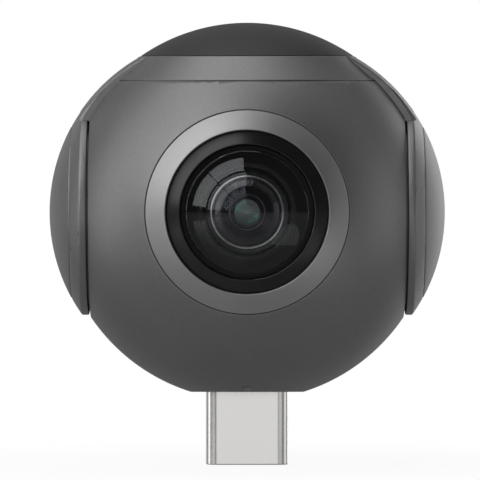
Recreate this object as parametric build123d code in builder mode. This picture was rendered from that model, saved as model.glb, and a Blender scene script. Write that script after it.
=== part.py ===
from build123d import *
import math
import os

os.makedirs("parts", exist_ok=True)

# All lengths are in millimetres. The origin is the middle of the flat base face, +Z is up, the front lens
# looks along -Y and the camera plugs in along -Z. Heights along a lens are counted from the ball's middle.

# Clearances
seam_gap = 0.06  # thin seam between two covers
fit_gap = 0.03  # all round a lens, a screw or a plug part
overrun = 1.0  # how far a cut runs past the surface that it opens

# Ball housing
ball_radius = 18.82
shell_wall = 2.0
base_face_radius = 5.6
flat_depth = 3.22  # from the ball's surface in to the flat that carries a pod
flat_wall = 1.2
floor_wall = 2.8  # over the base face
facet_angle = 18  # degrees that each facet of the inside takes
facet_count = 3

# Frame: a ring round the top, an arm down each side and a pod at the end of each arm
ring_low_angle = 42.47  # degrees over the middle plane of the ring's lower edge, over a lens
ring_high_angle = 53.55  # the same for its upper edge, about the top cap's own sphere
ring_slope = 1.55  # degrees that both edges dip towards each lens
ring_inset = 0.05  # of the ring's lower edge, under the ball's surface
ring_land = 1.5  # width of the ring's top that carries the cap
pod_sphere_inset = 1.07  # how much smaller a pod's own sphere is than the ball
pod_sphere_shift = 2.0  # from the ball's middle to the middle of a pod's sphere
pod_margin = 0.26  # from the flat's edge in to the pod's rim
pod_stand_off = 0.3  # dark groove between a pod's rim and the ball
pod_seat_margin = 1.1
pod_plate = 1.35
pod_lip = 1.67  # width of the pod's lip round its cap
arm_depth = 1.17  # of the arms' bed under the ball's surface
arm_foot = 4.75  # half width of an arm at the ball's surface
arm_top = 4.25  # half width of an arm at the top of its sloping sides
arm_rise = 0.57  # height of the arms over the ball where they leave the pods
arm_root = 8.0  # height over the middle plane where an arm grows out of its pod

# Caps
side_cap_flatness = 0.17  # how much flatter a side cap's sphere is than its pod's
side_cap_wall = 1.0
top_cap_inset = 0.16  # how much smaller the top cap's sphere is than the ball
top_cap_lift = 0.27  # from the ball's middle to the middle of the cap's sphere
top_cap_wall = 1.3
top_cap_spigot_depth = 1.0
top_cap_spigot_wall = 1.0

# Screws through the pods into the shells
frame_screw_offset = 5.2  # each side of the middle plane
frame_screw_radius = 0.75
frame_screw_head_radius = 1.4
frame_screw_head = 0.6
frame_boss_radius = 1.6
frame_boss_length = 2.2

# Trim ring and bezel round each lens
recess_radius = 9.92
recess_depth = 0.8  # from the trim ring's edge in to its seat
recess_seat = 1.17  # width of that seat
trim_width = 1.98
trim_rise = 0.12  # of the ring's inner edge, proud of the ball
trim_chamfer = 0.12
trim_shelf_height = 0.5
trim_shelf_width = 0.78
trim_spigot = 1.5
bezel_width = 1.3
bezel_rise = 0.6
bezel_drop = 0.2
bezel_round = 0.1
seal_width = 0.5
seal_height = 0.3

# Lens stack, from the dome at the front to the sensor
dome_rise = 1.18  # of the dome's middle over the ball
dome_curve = 9.25
dome_bowl_curve = 4.4
dome_bowl_margin = 2.05  # from the dome's edge in to the bowl in its back
dome_thickness = 1.45
second_step = 1.73  # from the dome's edge in to the second lens's
second_depth = 0.3  # from the dome's seat down to the rim
second_curve = 8.0
second_retainer_width = 0.62
second_rim = 1.3
second_bowl_curve = 3.0
second_bowl_margin = 1.0
third_step = 1.12
third_depth = 0.45
third_front_curve = 5.5
third_back_curve = 6.0
third_retainer_width = 0.65
third_rim = 1.1
rear_step = 0.7
web_thickness = 0.35
web_width = 0.7
stop_thickness = 0.15
stop_bore = 0.9
fourth_rim = 0.9
cement_curve = 4.0
fifth_rim = 1.3
fifth_curve = 7.0
fifth_retainer_height = 0.4
barrel_neck_wall = 0.51
barrel_neck_drop = 0.4  # from the bezel's front in to the neck's
barrel_flange = 0.4
barrel_head_tail = 0.5  # past the trim ring's spigot
barrel_body_wall = 0.78
barrel_tail = 0.95  # past the last retainer
barrel_thread = 2.8
barrel_thread_wall = 1.1

# Sensor board under each lens
sensor_board_thickness = 0.6
sensor_board_radius = 10.4
sensor_width = 7.0
sensor_height = 6.2
sensor_thickness = 0.8
holder_size = 10.5
holder_base = 1.4
holder_room = 1.0  # depth of the room for the sensor
holder_room_gap = 0.2
holder_window = 4.0
holder_tube_wall = 1.35
holder_tube_gap = 0.1
filter_size = 4.8
filter_thickness = 0.3
filter_clearance = 0.71  # from the filter to the barrel
sensor_boss_margin = 1.3  # from the board's edge in to its screws
sensor_boss_radius = 1.2
sensor_boss_count = 3
sensor_boss_start = 90  # degrees, so that the first one is straight up
sensor_screw_radius = 0.5
sensor_screw_head_radius = 0.95
sensor_screw_head = 0.5
sensor_screw_depth = 2.2

# Main board and what it carries
board_thickness = 0.8
board_edge_gap = 1.6
board_top_gap = 1.1
board_bottom_gap = 0.1
board_notch_gap = 0.2
board_boss_shares = (0.585, 0.585)  # of the board's radius
board_boss_radius = 1.25
board_screw_radius = 0.5
board_screw_head_radius = 1.0
board_screw_head = 0.5
board_screw_depth = 2.4
processor_size = 9.0
processor_height = 1.0
pad_height = 0.5
spreader_thickness = 0.6
spreader_margin = 1.2  # inside the main board's edge
shield_width = 12.5
shield_length = 10.5
shield_height = 1.6
shield_wall = 0.2
memory_width = 9.0
memory_length = 7.5
memory_height = 0.9
connector_width = 6.5
connector_length = 1.8
connector_height = 0.8
connector_inset = 0.9  # from the main board's upper edge
connector_gap = 0.15  # to the head of a sensor board's screw
flex_width = 6.0
flex_thickness = 0.12
flex_straight = 0.4  # past the main board's connector before it turns back
led_width = 1.6
led_length = 0.8
led_height = 0.4
led_gap = 0.25
pipe_radius = 0.5
pipe_bend = 1.2
pipe_recess = 0.25
pipe_notch_gap = 0.9  # round the light pipe, in the boards and plates that it passes
dimple_radius = 0.55
dimple_depth = 0.3
dimple_out = 7.2  # from the middle plane to the dimple

# Plug, to the sizes of a standard USB-C plug
plug_width = 8.25
plug_thickness = 2.4
plug_length = 7.25
plug_inside = 4.6
plug_wall = 0.25
plug_nose_round = 0.12
plug_slot_wall = 0.675  # from the plug's outside in to the end of its slot
plug_slot_height = 0.84
plug_slot_depth = 5.4
core_recess = 0.2
contact_count = 12
contact_pitch = 0.5
contact_width = 0.24
contact_thickness = 0.15
contact_start = 0.9
contact_tail = 1.4
latch_thickness = 0.25
latch_height = 0.6
latch_start = 1.1
latch_end = 5.0
latch_hook = 0.2
bracket_width = 11.6
bracket_depth = 6.0
bracket_thickness = 0.5
bracket_tab_width = 1.4
bracket_tab_height = 4.1
bracket_tab_thickness = 0.5


def sag(curve, radius):
    """How far a spherical face falls away from its middle at the given radius."""
    return curve - math.sqrt(curve**2 - radius**2)


# Places that follow from the sizes
centre_height = math.sqrt(ball_radius**2 - base_face_radius**2)
inner_radius = ball_radius - shell_wall
cavity_depth = inner_radius * math.sin(math.radians(facet_angle * facet_count))
reach = ball_radius + dome_rise + overrun

flat_offset = ball_radius - flat_depth
pod_back = flat_offset + pod_stand_off
pod_radius = math.sqrt(ball_radius**2 - flat_offset**2) - pod_margin
pod_sphere_radius = ball_radius - pod_sphere_inset
side_cap_floor = flat_offset + pod_plate
side_cap_radius = pod_radius - pod_lip - seam_gap
side_cap_sphere = pod_sphere_radius + side_cap_flatness
side_cap_apex = pod_sphere_radius + pod_sphere_shift
side_cap_inner = side_cap_sphere - side_cap_wall
side_cap_room = side_cap_apex - side_cap_wall - side_cap_floor
side_cap_bore = math.sqrt(side_cap_inner**2 - (side_cap_inner - side_cap_room) ** 2)
top_cap_sphere = ball_radius - top_cap_inset
ring_dip = math.tan(math.radians(ring_slope))
ring_low_edge = ball_radius * math.sin(math.radians(ring_low_angle))
ring_low_radius = ball_radius * math.cos(math.radians(ring_low_angle)) - ring_inset
ring_high_edge = top_cap_lift + top_cap_sphere * math.sin(math.radians(ring_high_angle))
ring_high_radius = top_cap_sphere * math.cos(math.radians(ring_high_angle))
ring_low = ring_low_edge + ring_low_radius * ring_dip
ring_high = ring_high_edge + ring_high_radius * ring_dip
ring_bore = ring_high_radius - ring_land
arm_bed = ball_radius - arm_depth
frame_screw_length = pod_plate - frame_screw_head + flat_wall + frame_boss_length - fit_gap

opening_radius = recess_radius - recess_seat
trim_edge = recess_radius - seam_gap
trim_inner_radius = trim_edge - trim_width
trim_bore = trim_inner_radius - trim_shelf_width
trim_flush = math.sqrt(ball_radius**2 - trim_edge**2)
trim_front = math.sqrt(ball_radius**2 - (trim_inner_radius + trim_chamfer) ** 2) + trim_rise
recess_floor = trim_flush - recess_depth
trim_shelf = recess_floor + trim_shelf_height
trim_spigot_end = recess_floor - trim_spigot
bezel_outer_radius = trim_inner_radius - seam_gap
bezel_inner_radius = bezel_outer_radius - bezel_width
bezel_front = trim_front + bezel_rise
bezel_back = trim_front - bezel_drop

# Radii of the lenses and of what they look through, each a step in from the one before
dome_radius = bezel_inner_radius - 2 * fit_gap - barrel_neck_wall
dome_bowl_radius = dome_radius - dome_bowl_margin
second_radius = dome_radius - second_step
second_clear = second_radius - second_retainer_width
second_bowl_radius = second_clear - second_bowl_margin
third_radius = second_radius - third_step
third_clear = third_radius - third_retainer_width
rear_radius = third_radius - rear_step
web_bore = rear_radius - web_width
barrel_body_radius = second_radius + barrel_body_wall
barrel_thread_radius = rear_radius + barrel_thread_wall

# Heights of the seats in the lens barrel, from the front down
dome_apex = ball_radius + dome_rise
dome_edge = dome_apex - sag(dome_curve, dome_radius)
dome_seat = dome_apex - dome_thickness - sag(dome_bowl_curve, dome_bowl_radius)
second_front = dome_seat - second_depth
second_seat = second_front - second_rim
third_front = second_seat - third_depth
third_seat = third_front - third_rim
web_low = third_seat - sag(third_back_curve, third_clear) - web_thickness
stop_low = web_low - stop_thickness
fourth_low = stop_low - fourth_rim
fifth_low = fourth_low - fifth_rim
retainer_low = fifth_low - fifth_retainer_height
barrel_end = retainer_low - barrel_tail
barrel_body_end = barrel_end + barrel_thread
sensor_board_front = barrel_end - filter_clearance - filter_thickness - holder_base
sensor_board_back = sensor_board_front - sensor_board_thickness
sensor_boss_circle = sensor_board_radius - sensor_boss_margin

# Levels over the ball's middle of what stands on the main board
half_board = board_thickness / 2
board_radius = inner_radius - board_edge_gap
board_half_width = flat_offset - flat_wall - board_edge_gap / 2
board_top = ring_low - board_top_gap
board_bottom = floor_wall + bracket_thickness + board_bottom_gap - centre_height
board_notch_half_width = plug_width / 2 + board_notch_gap
board_notch_top = plug_inside + board_bottom_gap - centre_height
spreader_radius = board_radius - spreader_margin
board_boss_x, board_boss_z = (share * board_radius for share in board_boss_shares)
spreader_low = half_board + processor_height + pad_height
pipe_level = plug_inside + contact_tail - centre_height + led_gap + led_length / 2
pipe_notch_radius = pipe_radius + pipe_notch_gap
board_connector_z = board_top - connector_inset - connector_length / 2
sensor_connector_z = sensor_boss_circle - sensor_screw_head_radius - connector_gap - connector_length / 2
flex_turn = board_connector_z + connector_length / 2 + flex_straight
mouth = core_recess - plug_length
plug_slot_width = plug_width - 2 * plug_slot_wall
contact_row_gap = plug_slot_height + contact_thickness  # between the middles of the two rows

middle = Plane(origin=(0, 0, centre_height))
front_optics = Plane(origin=middle.origin, x_dir=(1, 0, 0), z_dir=(0, -1, 0))
rear_optics = Plane(origin=middle.origin, x_dir=(-1, 0, 0), z_dir=(0, 1, 0))
right_side = Plane(origin=middle.origin, x_dir=(0, 1, 0), z_dir=(1, 0, 0))
left_side = Plane(origin=middle.origin, x_dir=(0, 1, 0), z_dir=(-1, 0, 0))


def save(part, label):
    """Label a finished piece, write it and hand it back."""
    part.label = label
    export_step(part, f"parts/{label}.step")
    return part


def half_section(plane):
    """Plane through the plane's own axis, with radius along its x and height along its y."""
    return Plane(origin=plane.origin, x_dir=plane.x_dir, z_dir=-plane.y_dir)


def turned(plane, outline):
    """Solid turned about the plane's axis from (radius, height) corners."""
    with BuildPart() as piece:
        with BuildSketch(half_section(plane)):
            with BuildLine():
                Polyline(*outline, close=True)
            make_face()
        revolve(axis=Axis(plane.origin, plane.z_dir))
    return piece.part


def disc(plane, radius, low, high, bore=0):
    """Round plate between two heights, with a bore if one is given."""
    with BuildPart() as piece:
        with BuildSketch(plane.offset(low)):
            Circle(radius)
            if bore:
                Circle(bore, mode=Mode.SUBTRACT)
        extrude(amount=high - low)
    return piece.part


def roof_slab(low, high):
    """All between two levels that both dip towards the lenses like a very shallow roof."""
    drop = reach * ring_dip
    with BuildPart() as slab:
        with BuildSketch(right_side):
            with BuildLine():
                Polyline(
                    (-reach, low - drop), (0, low), (reach, low - drop),
                    (reach, high - drop), (0, high), (-reach, high - drop),
                    close=True,
                )
            make_face()
        extrude(amount=reach, both=True)
    return slab.part


def lens_curve(vertex, curve, radius, sign):
    """Three points of a lens face from middle to rim; sign is 1 where it falls and -1 where it rises."""
    half_angle = math.asin(radius / curve) / 2
    halfway = (curve * math.sin(half_angle), vertex - sign * curve * (1 - math.cos(half_angle)))
    return (0, vertex), halfway, (radius, vertex - sign * sag(curve, radius))


def lens(plane, back, front, rim_radius):
    """Glass between a back and a front face, each given as three points, with a cylindrical rim."""
    with BuildPart() as glass:
        with BuildSketch(half_section(plane)):
            with BuildLine():
                ThreePointArc(*back)
                if back[2][0] < rim_radius:
                    Line(back[2], (rim_radius, back[2][1]))
                Line((rim_radius, back[2][1]), (rim_radius, front[2][1]))
                if front[2][0] < rim_radius:
                    Line((rim_radius, front[2][1]), front[2])
                ThreePointArc(front[2], front[1], front[0])
                Line(front[0], back[0])
            make_face()
        revolve(axis=Axis(plane.origin, plane.z_dir))
    return glass.part


def sensor_boss_places():
    """Places of the bosses that carry a sensor board."""
    return PolarLocations(sensor_boss_circle, sensor_boss_count, start_angle=sensor_boss_start)


def board_boss_places():
    """Places of the bosses that carry the main board."""
    return GridLocations(2 * board_boss_x, 2 * board_boss_z, 2, 2)


def frame_screw_places():
    """Places of the two screws under a side cap."""
    return GridLocations(2 * frame_screw_offset, 0, 2, 1)


def arm_band(gap, lean):
    """Band about the lens axis that holds both arms; a gap widens it to their bed, lean slopes its sides."""
    half = [(arm_bed - gap, arm_foot + gap), (ball_radius, arm_foot + gap),
            (reach, arm_foot + gap - lean * (reach - ball_radius))]
    band = turned(front_optics, half + [(radius, -width) for radius, width in reversed(half)])
    with BuildPart() as arms:
        add(band)
        split(bisect_by=middle.offset(arm_root - gap), keep=Keep.TOP)
    return arms.part


def shell_hollow(optics, with_board_bosses):
    """Room inside one half of the ball, less the bosses that stand in it."""
    angles = [math.radians(facet_angle * step) for step in range(facet_count + 1)]
    wall = [(inner_radius * math.cos(angle), inner_radius * math.sin(angle)) for angle in angles]
    room = turned(optics, [(0, 0)] + wall + [(0, cavity_depth)])
    with BuildPart() as hollow:
        add(room)
        for side in (right_side, left_side):
            split(bisect_by=side.offset(flat_offset - flat_wall), keep=Keep.BOTTOM)
        split(bisect_by=Plane.XY.offset(floor_wall), keep=Keep.TOP)
        with BuildSketch(optics.offset(sensor_board_front)):
            with sensor_boss_places():
                Circle(sensor_boss_radius)
        extrude(amount=reach, mode=Mode.SUBTRACT)
        for side in (right_side, left_side):
            with BuildSketch(side.offset(flat_offset - flat_wall - frame_boss_length)):
                with Locations((optics.z_dir.Y * frame_screw_offset, 0)):
                    Circle(frame_boss_radius)
            extrude(amount=reach, mode=Mode.SUBTRACT)
        if with_board_bosses:
            with BuildSketch(optics.offset(half_board)):
                with board_boss_places():
                    Circle(board_boss_radius)
            extrude(amount=reach, mode=Mode.SUBTRACT)
    return hollow.part


def pipe_direction():
    """Unit vector from the ball's middle to the dimple."""
    return Vector(0, -dimple_out, -math.sqrt(ball_radius**2 - dimple_out**2)) / ball_radius


def shell(label, optics, with_dimple):
    """One half of the ball's housing."""
    hollow = shell_hollow(optics, not with_dimple)
    above = roof_slab(ring_low - seam_gap, ball_radius + overrun)
    bed = arm_band(seam_gap, 0)
    dimple = Plane(origin=middle.origin + pipe_direction() * ball_radius, z_dir=pipe_direction())
    with BuildPart() as half:
        with Locations(middle.origin):
            Sphere(ball_radius)
        split(bisect_by=optics, keep=Keep.TOP)
        split(bisect_by=Plane.XY, keep=Keep.TOP)
        for side in (right_side, left_side):
            split(bisect_by=side.offset(flat_offset), keep=Keep.BOTTOM)
        add(above, mode=Mode.SUBTRACT)
        add(bed, mode=Mode.SUBTRACT)
        add(hollow, mode=Mode.SUBTRACT)
        with BuildSketch(optics.offset(recess_floor)):
            Circle(recess_radius)
        extrude(amount=reach, mode=Mode.SUBTRACT)
        with BuildSketch(optics.offset(cavity_depth)):
            Circle(opening_radius)
        extrude(amount=reach, mode=Mode.SUBTRACT)
        with BuildSketch(Plane.XY):
            SlotOverall(plug_width + 2 * seam_gap, plug_thickness + 2 * seam_gap)
        extrude(amount=floor_wall + overrun, both=True, mode=Mode.SUBTRACT)
        with BuildSketch(optics.offset(sensor_board_front)):
            with sensor_boss_places():
                Circle(sensor_screw_radius + fit_gap)
        extrude(amount=sensor_screw_depth + fit_gap, mode=Mode.SUBTRACT)
        for side in (right_side, left_side):
            with BuildSketch(side.offset(flat_offset)):
                with Locations((optics.z_dir.Y * frame_screw_offset, 0)):
                    Circle(frame_screw_radius + fit_gap)
            extrude(amount=-flat_wall - frame_boss_length, mode=Mode.SUBTRACT)
        if with_dimple:
            with BuildSketch(dimple):
                Circle(dimple_radius)
            extrude(amount=-dimple_depth, mode=Mode.SUBTRACT)
            with BuildSketch(dimple):
                Circle(pipe_radius + fit_gap)
            extrude(amount=-shell_wall - overrun, mode=Mode.SUBTRACT)
        else:
            with BuildSketch(optics.offset(half_board)):
                with board_boss_places():
                    Circle(board_screw_radius + fit_gap)
            extrude(amount=board_screw_depth + fit_gap, mode=Mode.SUBTRACT)
    return save(half.part, label)


def ear(side, arms):
    """Pod and arm of the frame on one side."""
    with BuildPart() as piece:
        with BuildSketch(side.offset(pod_back)):
            Circle(pod_radius)
        extrude(amount=reach - pod_back)
        with BuildSketch(side.offset(flat_offset)):
            Circle(pod_radius - pod_seat_margin)
        extrude(amount=pod_stand_off)
        add(arms)
        split(bisect_by=side, keep=Keep.TOP)
        with Locations(side.offset(pod_sphere_shift).origin):
            Sphere(pod_sphere_radius, mode=Mode.INTERSECT)
    return piece.part


def side_frame():
    """Headband frame: ring, arms and pods in one moulding."""
    slope = (ring_low_radius - ring_high_radius) / (ring_high_edge - ring_low_edge)
    ring_outline = [
        (ring_bore, ring_low_edge - overrun), (ring_low_radius + slope * overrun, ring_low_edge - overrun),
        (ring_high_radius - slope * overrun, ring_high_edge + overrun), (ring_bore, ring_high_edge + overrun),
    ]
    ring = turned(middle, ring_outline)
    slab = roof_slab(ring_low, ring_high)
    above = roof_slab(ring_high, reach)
    arms = arm_band(0, (arm_foot - arm_top) / arm_rise)
    ears = [ear(side, arms) for side in (right_side, left_side)]
    with BuildPart() as frame:
        add(ring)
        add(slab, mode=Mode.INTERSECT)
        for piece in ears:
            add(piece)
        add(above, mode=Mode.SUBTRACT)
        with BuildSketch(middle.offset(arm_root)):
            Circle(ring_bore)
        extrude(amount=reach, mode=Mode.SUBTRACT)
        for side in (right_side, left_side):
            with BuildSketch(side.offset(side_cap_floor)):
                Circle(side_cap_radius + seam_gap)
            extrude(amount=reach, mode=Mode.SUBTRACT)
            with BuildSketch(side.offset(side_cap_floor)):
                with frame_screw_places():
                    Circle(frame_screw_head_radius + fit_gap)
            extrude(amount=-frame_screw_head, mode=Mode.SUBTRACT)
            with BuildSketch(side.offset(side_cap_floor)):
                with frame_screw_places():
                    Circle(frame_screw_radius + fit_gap)
            extrude(amount=-pod_plate - overrun, mode=Mode.SUBTRACT)
    return save(frame.part, "side_frame")


def frame_screws():
    """Four screws that hold both shells in the frame, under the side caps."""
    with BuildPart() as screws:
        for side in (right_side, left_side):
            head_floor = side_cap_floor - frame_screw_head
            with BuildSketch(side.offset(head_floor)):
                with frame_screw_places():
                    Circle(frame_screw_head_radius)
            extrude(amount=frame_screw_head)
            with BuildSketch(side.offset(head_floor)):
                with frame_screw_places():
                    Circle(frame_screw_radius)
            extrude(amount=-frame_screw_length)
    return save(screws.part, "frame_screws")


def top_cap():
    """Dark domed cap with a spigot that fits the ring's bore."""
    above = roof_slab(ring_high + seam_gap, reach)
    spigot_radius = ring_bore - fit_gap
    room_radius = spigot_radius - top_cap_spigot_wall
    inner = top_cap_sphere - top_cap_wall
    spigot_low = ring_high - top_cap_spigot_depth
    spigot_high = top_cap_lift + math.sqrt(inner**2 - room_radius**2) + top_cap_wall / 2
    with BuildPart() as cap:
        with Locations(middle.offset(top_cap_lift).origin):
            Sphere(top_cap_sphere)
            Sphere(inner, mode=Mode.SUBTRACT)
        add(above, mode=Mode.INTERSECT)
        with BuildSketch(middle.offset(spigot_low)):
            Circle(spigot_radius)
            Circle(room_radius, mode=Mode.SUBTRACT)
        extrude(amount=spigot_high - spigot_low)
    return save(cap.part, "top_cap")


def side_cap(label, side):
    """Domed cap that closes a pod and hides its screws."""
    outside = lens_curve(side_cap_apex, side_cap_sphere, side_cap_radius, 1)
    inside = lens_curve(side_cap_apex - side_cap_wall, side_cap_inner, side_cap_bore, 1)
    return save(lens(side, inside, outside, side_cap_radius), label)


def trim_ring(label, optics):
    """Metal ring round the lens, with a shelf for the seal and a spigot through the shell."""
    outline = [
        (trim_edge, recess_floor), (trim_edge, trim_flush),
        (trim_inner_radius + trim_chamfer, trim_front),
        (trim_inner_radius, trim_front - trim_chamfer),
        (trim_inner_radius, trim_shelf), (trim_bore, trim_shelf), (trim_bore, trim_spigot_end),
        (opening_radius - seam_gap, trim_spigot_end), (opening_radius - seam_gap, recess_floor),
    ]
    return save(turned(optics, outline), label)


def bezel(label, optics):
    """Glossy black ring between the trim ring and the dome lens."""
    back = trim_shelf + seal_height + barrel_flange
    outline = [
        (bezel_inner_radius, back), (bezel_outer_radius, back), (bezel_outer_radius, bezel_back),
        (bezel_inner_radius + bezel_round, bezel_front),
        (bezel_inner_radius, bezel_front - bezel_round),
    ]
    return save(turned(optics, outline), label)


def seal_ring(label, optics):
    """Rubber ring squeezed between the trim ring's shelf and the barrel's flange."""
    outer = trim_inner_radius - fit_gap
    inner = outer - seal_width
    outline = [(inner, trim_shelf), (outer, trim_shelf), (outer, trim_shelf + seal_height),
               (inner, trim_shelf + seal_height)]
    return save(turned(optics, outline), label)


def lens_barrel(label, optics):
    """Stepped barrel: a shelf for each lens inside; neck, flange, head, body and thread outside."""
    flange_low = trim_shelf + seal_height
    neck_radius = bezel_inner_radius - fit_gap
    neck_top = bezel_front - barrel_neck_drop
    head_radius = trim_bore - fit_gap
    head_end = trim_spigot_end - barrel_head_tail
    rear_bore = rear_radius + fit_gap
    outside = [
        (barrel_thread_radius, barrel_end), (barrel_thread_radius, barrel_body_end),
        (barrel_body_radius, barrel_body_end), (barrel_body_radius, head_end),
        (head_radius, head_end), (head_radius, flange_low),
        (trim_inner_radius - fit_gap, flange_low),
        (trim_inner_radius - fit_gap, flange_low + barrel_flange),
        (neck_radius, flange_low + barrel_flange), (neck_radius, neck_top),
    ]
    inside = [
        (dome_radius + fit_gap, neck_top), (dome_radius + fit_gap, dome_seat),
        (second_radius + fit_gap, dome_seat), (second_radius + fit_gap, second_seat),
        (third_radius + fit_gap, second_seat), (third_radius + fit_gap, third_seat),
        (third_clear, third_seat), (third_clear, web_low + web_thickness),
        (web_bore, web_low + web_thickness), (web_bore, web_low),
        (rear_bore, web_low), (rear_bore, barrel_end),
    ]
    return save(turned(optics, outside + inside), label)


def lens_group(side_name, optics):
    """The five glass elements, the aperture stop and the rings that hold them."""
    dome_front = lens_curve(dome_apex, dome_curve, dome_radius, 1)
    dome_back = lens_curve(dome_apex - dome_thickness, dome_bowl_curve, dome_bowl_radius, 1)
    save(lens(optics, dome_back, dome_front, dome_radius), f"{side_name}_dome_lens")

    second_top = lens_curve(second_front + sag(second_curve, second_clear), second_curve, second_clear, 1)
    bowl_vertex = second_seat + sag(second_bowl_curve, second_bowl_radius)
    second_back = lens_curve(bowl_vertex, second_bowl_curve, second_bowl_radius, 1)
    save(lens(optics, second_back, second_top, second_radius), f"{side_name}_second_lens")
    save(disc(optics, second_radius, second_front, dome_seat, second_clear),
         f"{side_name}_second_retainer")

    front_vertex = third_front + sag(third_front_curve, third_clear)
    back_vertex = third_seat - sag(third_back_curve, third_clear)
    third_top = lens_curve(front_vertex, third_front_curve, third_clear, 1)
    third_back = lens_curve(back_vertex, third_back_curve, third_clear, -1)
    save(lens(optics, third_back, third_top, third_radius), f"{side_name}_third_lens")
    save(disc(optics, third_radius, third_front, second_seat, third_clear),
         f"{side_name}_third_retainer")

    save(disc(optics, rear_radius, stop_low, web_low, stop_bore), f"{side_name}_aperture_stop")

    fourth_front = lens_curve(stop_low, fifth_curve, rear_radius, 1)
    cement = lens_curve(fourth_low - sag(cement_curve, rear_radius), cement_curve, rear_radius, -1)
    fifth_back = lens_curve(fifth_low - sag(fifth_curve, web_bore), fifth_curve, web_bore, -1)
    save(lens(optics, cement, fourth_front, rear_radius), f"{side_name}_fourth_lens")
    save(lens(optics, fifth_back, cement, rear_radius), f"{side_name}_fifth_lens")
    save(disc(optics, rear_radius, retainer_low, fifth_low, web_bore), f"{side_name}_fifth_retainer")


def lens_holder(label, optics):
    """Square foot glued to the sensor board, with a tube that takes the barrel's thread."""
    foot = optics.offset(sensor_board_front)
    tube_bore = barrel_thread_radius + fit_gap
    tube_height = barrel_body_end - sensor_board_front - holder_tube_gap
    with BuildPart() as holder:
        with BuildSketch(foot):
            Rectangle(holder_size, holder_size)
        extrude(amount=holder_base)
        with BuildSketch(foot):
            Circle(tube_bore + holder_tube_wall)
        extrude(amount=tube_height)
        with BuildSketch(foot.offset(holder_base)):
            Circle(tube_bore)
        extrude(amount=tube_height, mode=Mode.SUBTRACT)
        with BuildSketch(foot):
            Rectangle(sensor_width + 2 * holder_room_gap, sensor_height + 2 * holder_room_gap)
        extrude(amount=holder_room, mode=Mode.SUBTRACT)
        with BuildSketch(foot):
            Rectangle(holder_window, holder_window)
        extrude(amount=tube_height, mode=Mode.SUBTRACT)
    return save(holder.part, label)


def block(label, plane, width, length, height, x=0, y=0):
    """Plain rectangular chip, pad or filter standing on a plane."""
    with BuildPart() as piece:
        with BuildSketch(plane):
            with Locations((x, y)):
                Rectangle(width, length)
        extrude(amount=height)
    return save(piece.part, label)


def pipe_notch():
    """Cut the notch for the light pipe, open at the bottom, out of the sketch at hand."""
    with Locations((0, pipe_level)):
        Circle(pipe_notch_radius, mode=Mode.SUBTRACT)
    with Locations((0, pipe_level - inner_radius / 2)):
        Rectangle(2 * pipe_notch_radius, inner_radius, mode=Mode.SUBTRACT)


def sensor_board(label, optics):
    """Round board that carries the sensor, hangs on the shell's bosses and is notched for the light pipe."""
    with BuildPart() as board:
        with BuildSketch(optics.offset(sensor_board_back)):
            Circle(sensor_board_radius)
            pipe_notch()
            with sensor_boss_places():
                Circle(sensor_screw_radius + fit_gap, mode=Mode.SUBTRACT)
        extrude(amount=sensor_board_thickness)
    return save(board.part, label)


def flex_cable(label, optics):
    """Thin cable from the main board's connector, folded in a U over to the sensor board's connector."""
    low = half_board + connector_height + flex_thickness / 2
    high = sensor_board_back - connector_height - flex_thickness / 2
    bend = (high - low) / 2
    with BuildPart() as cable:
        with BuildSketch(Plane(origin=optics.origin, x_dir=optics.z_dir, z_dir=-optics.x_dir)):
            with BuildLine():
                Line((low, board_connector_z - connector_length / 2), (low, flex_turn))
                ThreePointArc((low, flex_turn), (low + bend, flex_turn + bend), (high, flex_turn))
                Line((high, flex_turn), (high, sensor_connector_z - connector_length / 2))
            trace(line_width=flex_thickness)
        extrude(amount=flex_width / 2, both=True)
    return save(cable.part, label)


def lens_module(side_name, optics):
    """Everything that belongs to one of the two lenses."""
    trim_ring(f"{side_name}_trim_ring", optics)
    bezel(f"{side_name}_bezel", optics)
    seal_ring(f"{side_name}_seal_ring", optics)
    lens_barrel(f"{side_name}_lens_barrel", optics)
    lens_group(side_name, optics)
    lens_holder(f"{side_name}_lens_holder", optics)
    sensor_board(f"{side_name}_sensor_board", optics)
    foot = optics.offset(sensor_board_front)
    block(f"{side_name}_image_sensor", foot, sensor_width, sensor_height, sensor_thickness)
    block(f"{side_name}_ir_filter", foot.offset(holder_base), filter_size, filter_size, filter_thickness)
    flex_cable(f"{side_name}_flex_cable", optics)


def main_board():
    """Board on the middle plane, with a notch for the plug."""
    with BuildPart() as board:
        with BuildSketch(front_optics):
            Circle(board_radius)
            with Locations((0, (board_top + board_bottom) / 2)):
                Rectangle(2 * board_half_width, board_top - board_bottom, mode=Mode.INTERSECT)
            with Locations((0, board_notch_top - board_radius / 2)):
                Rectangle(2 * board_notch_half_width, board_radius, mode=Mode.SUBTRACT)
            with board_boss_places():
                Circle(board_screw_radius + fit_gap, mode=Mode.SUBTRACT)
        extrude(amount=half_board, both=True)
    return save(board.part, "main_board")


def heat_spreader():
    """Metal plate over the processor, on four collars that stand on the board, notched for the light pipe."""
    with BuildPart() as spreader:
        with BuildSketch(front_optics.offset(spreader_low)):
            Circle(spreader_radius)
            Rectangle(2 * board_half_width, 2 * board_top, mode=Mode.INTERSECT)
            pipe_notch()
        extrude(amount=spreader_thickness)
        with BuildSketch(front_optics.offset(half_board)):
            with board_boss_places():
                Circle(board_boss_radius)
        extrude(amount=spreader_low - half_board)
        with BuildSketch(front_optics.offset(half_board)):
            with board_boss_places():
                Circle(board_screw_radius + fit_gap)
        extrude(amount=reach, mode=Mode.SUBTRACT)
    return save(spreader.part, "heat_spreader")


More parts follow.
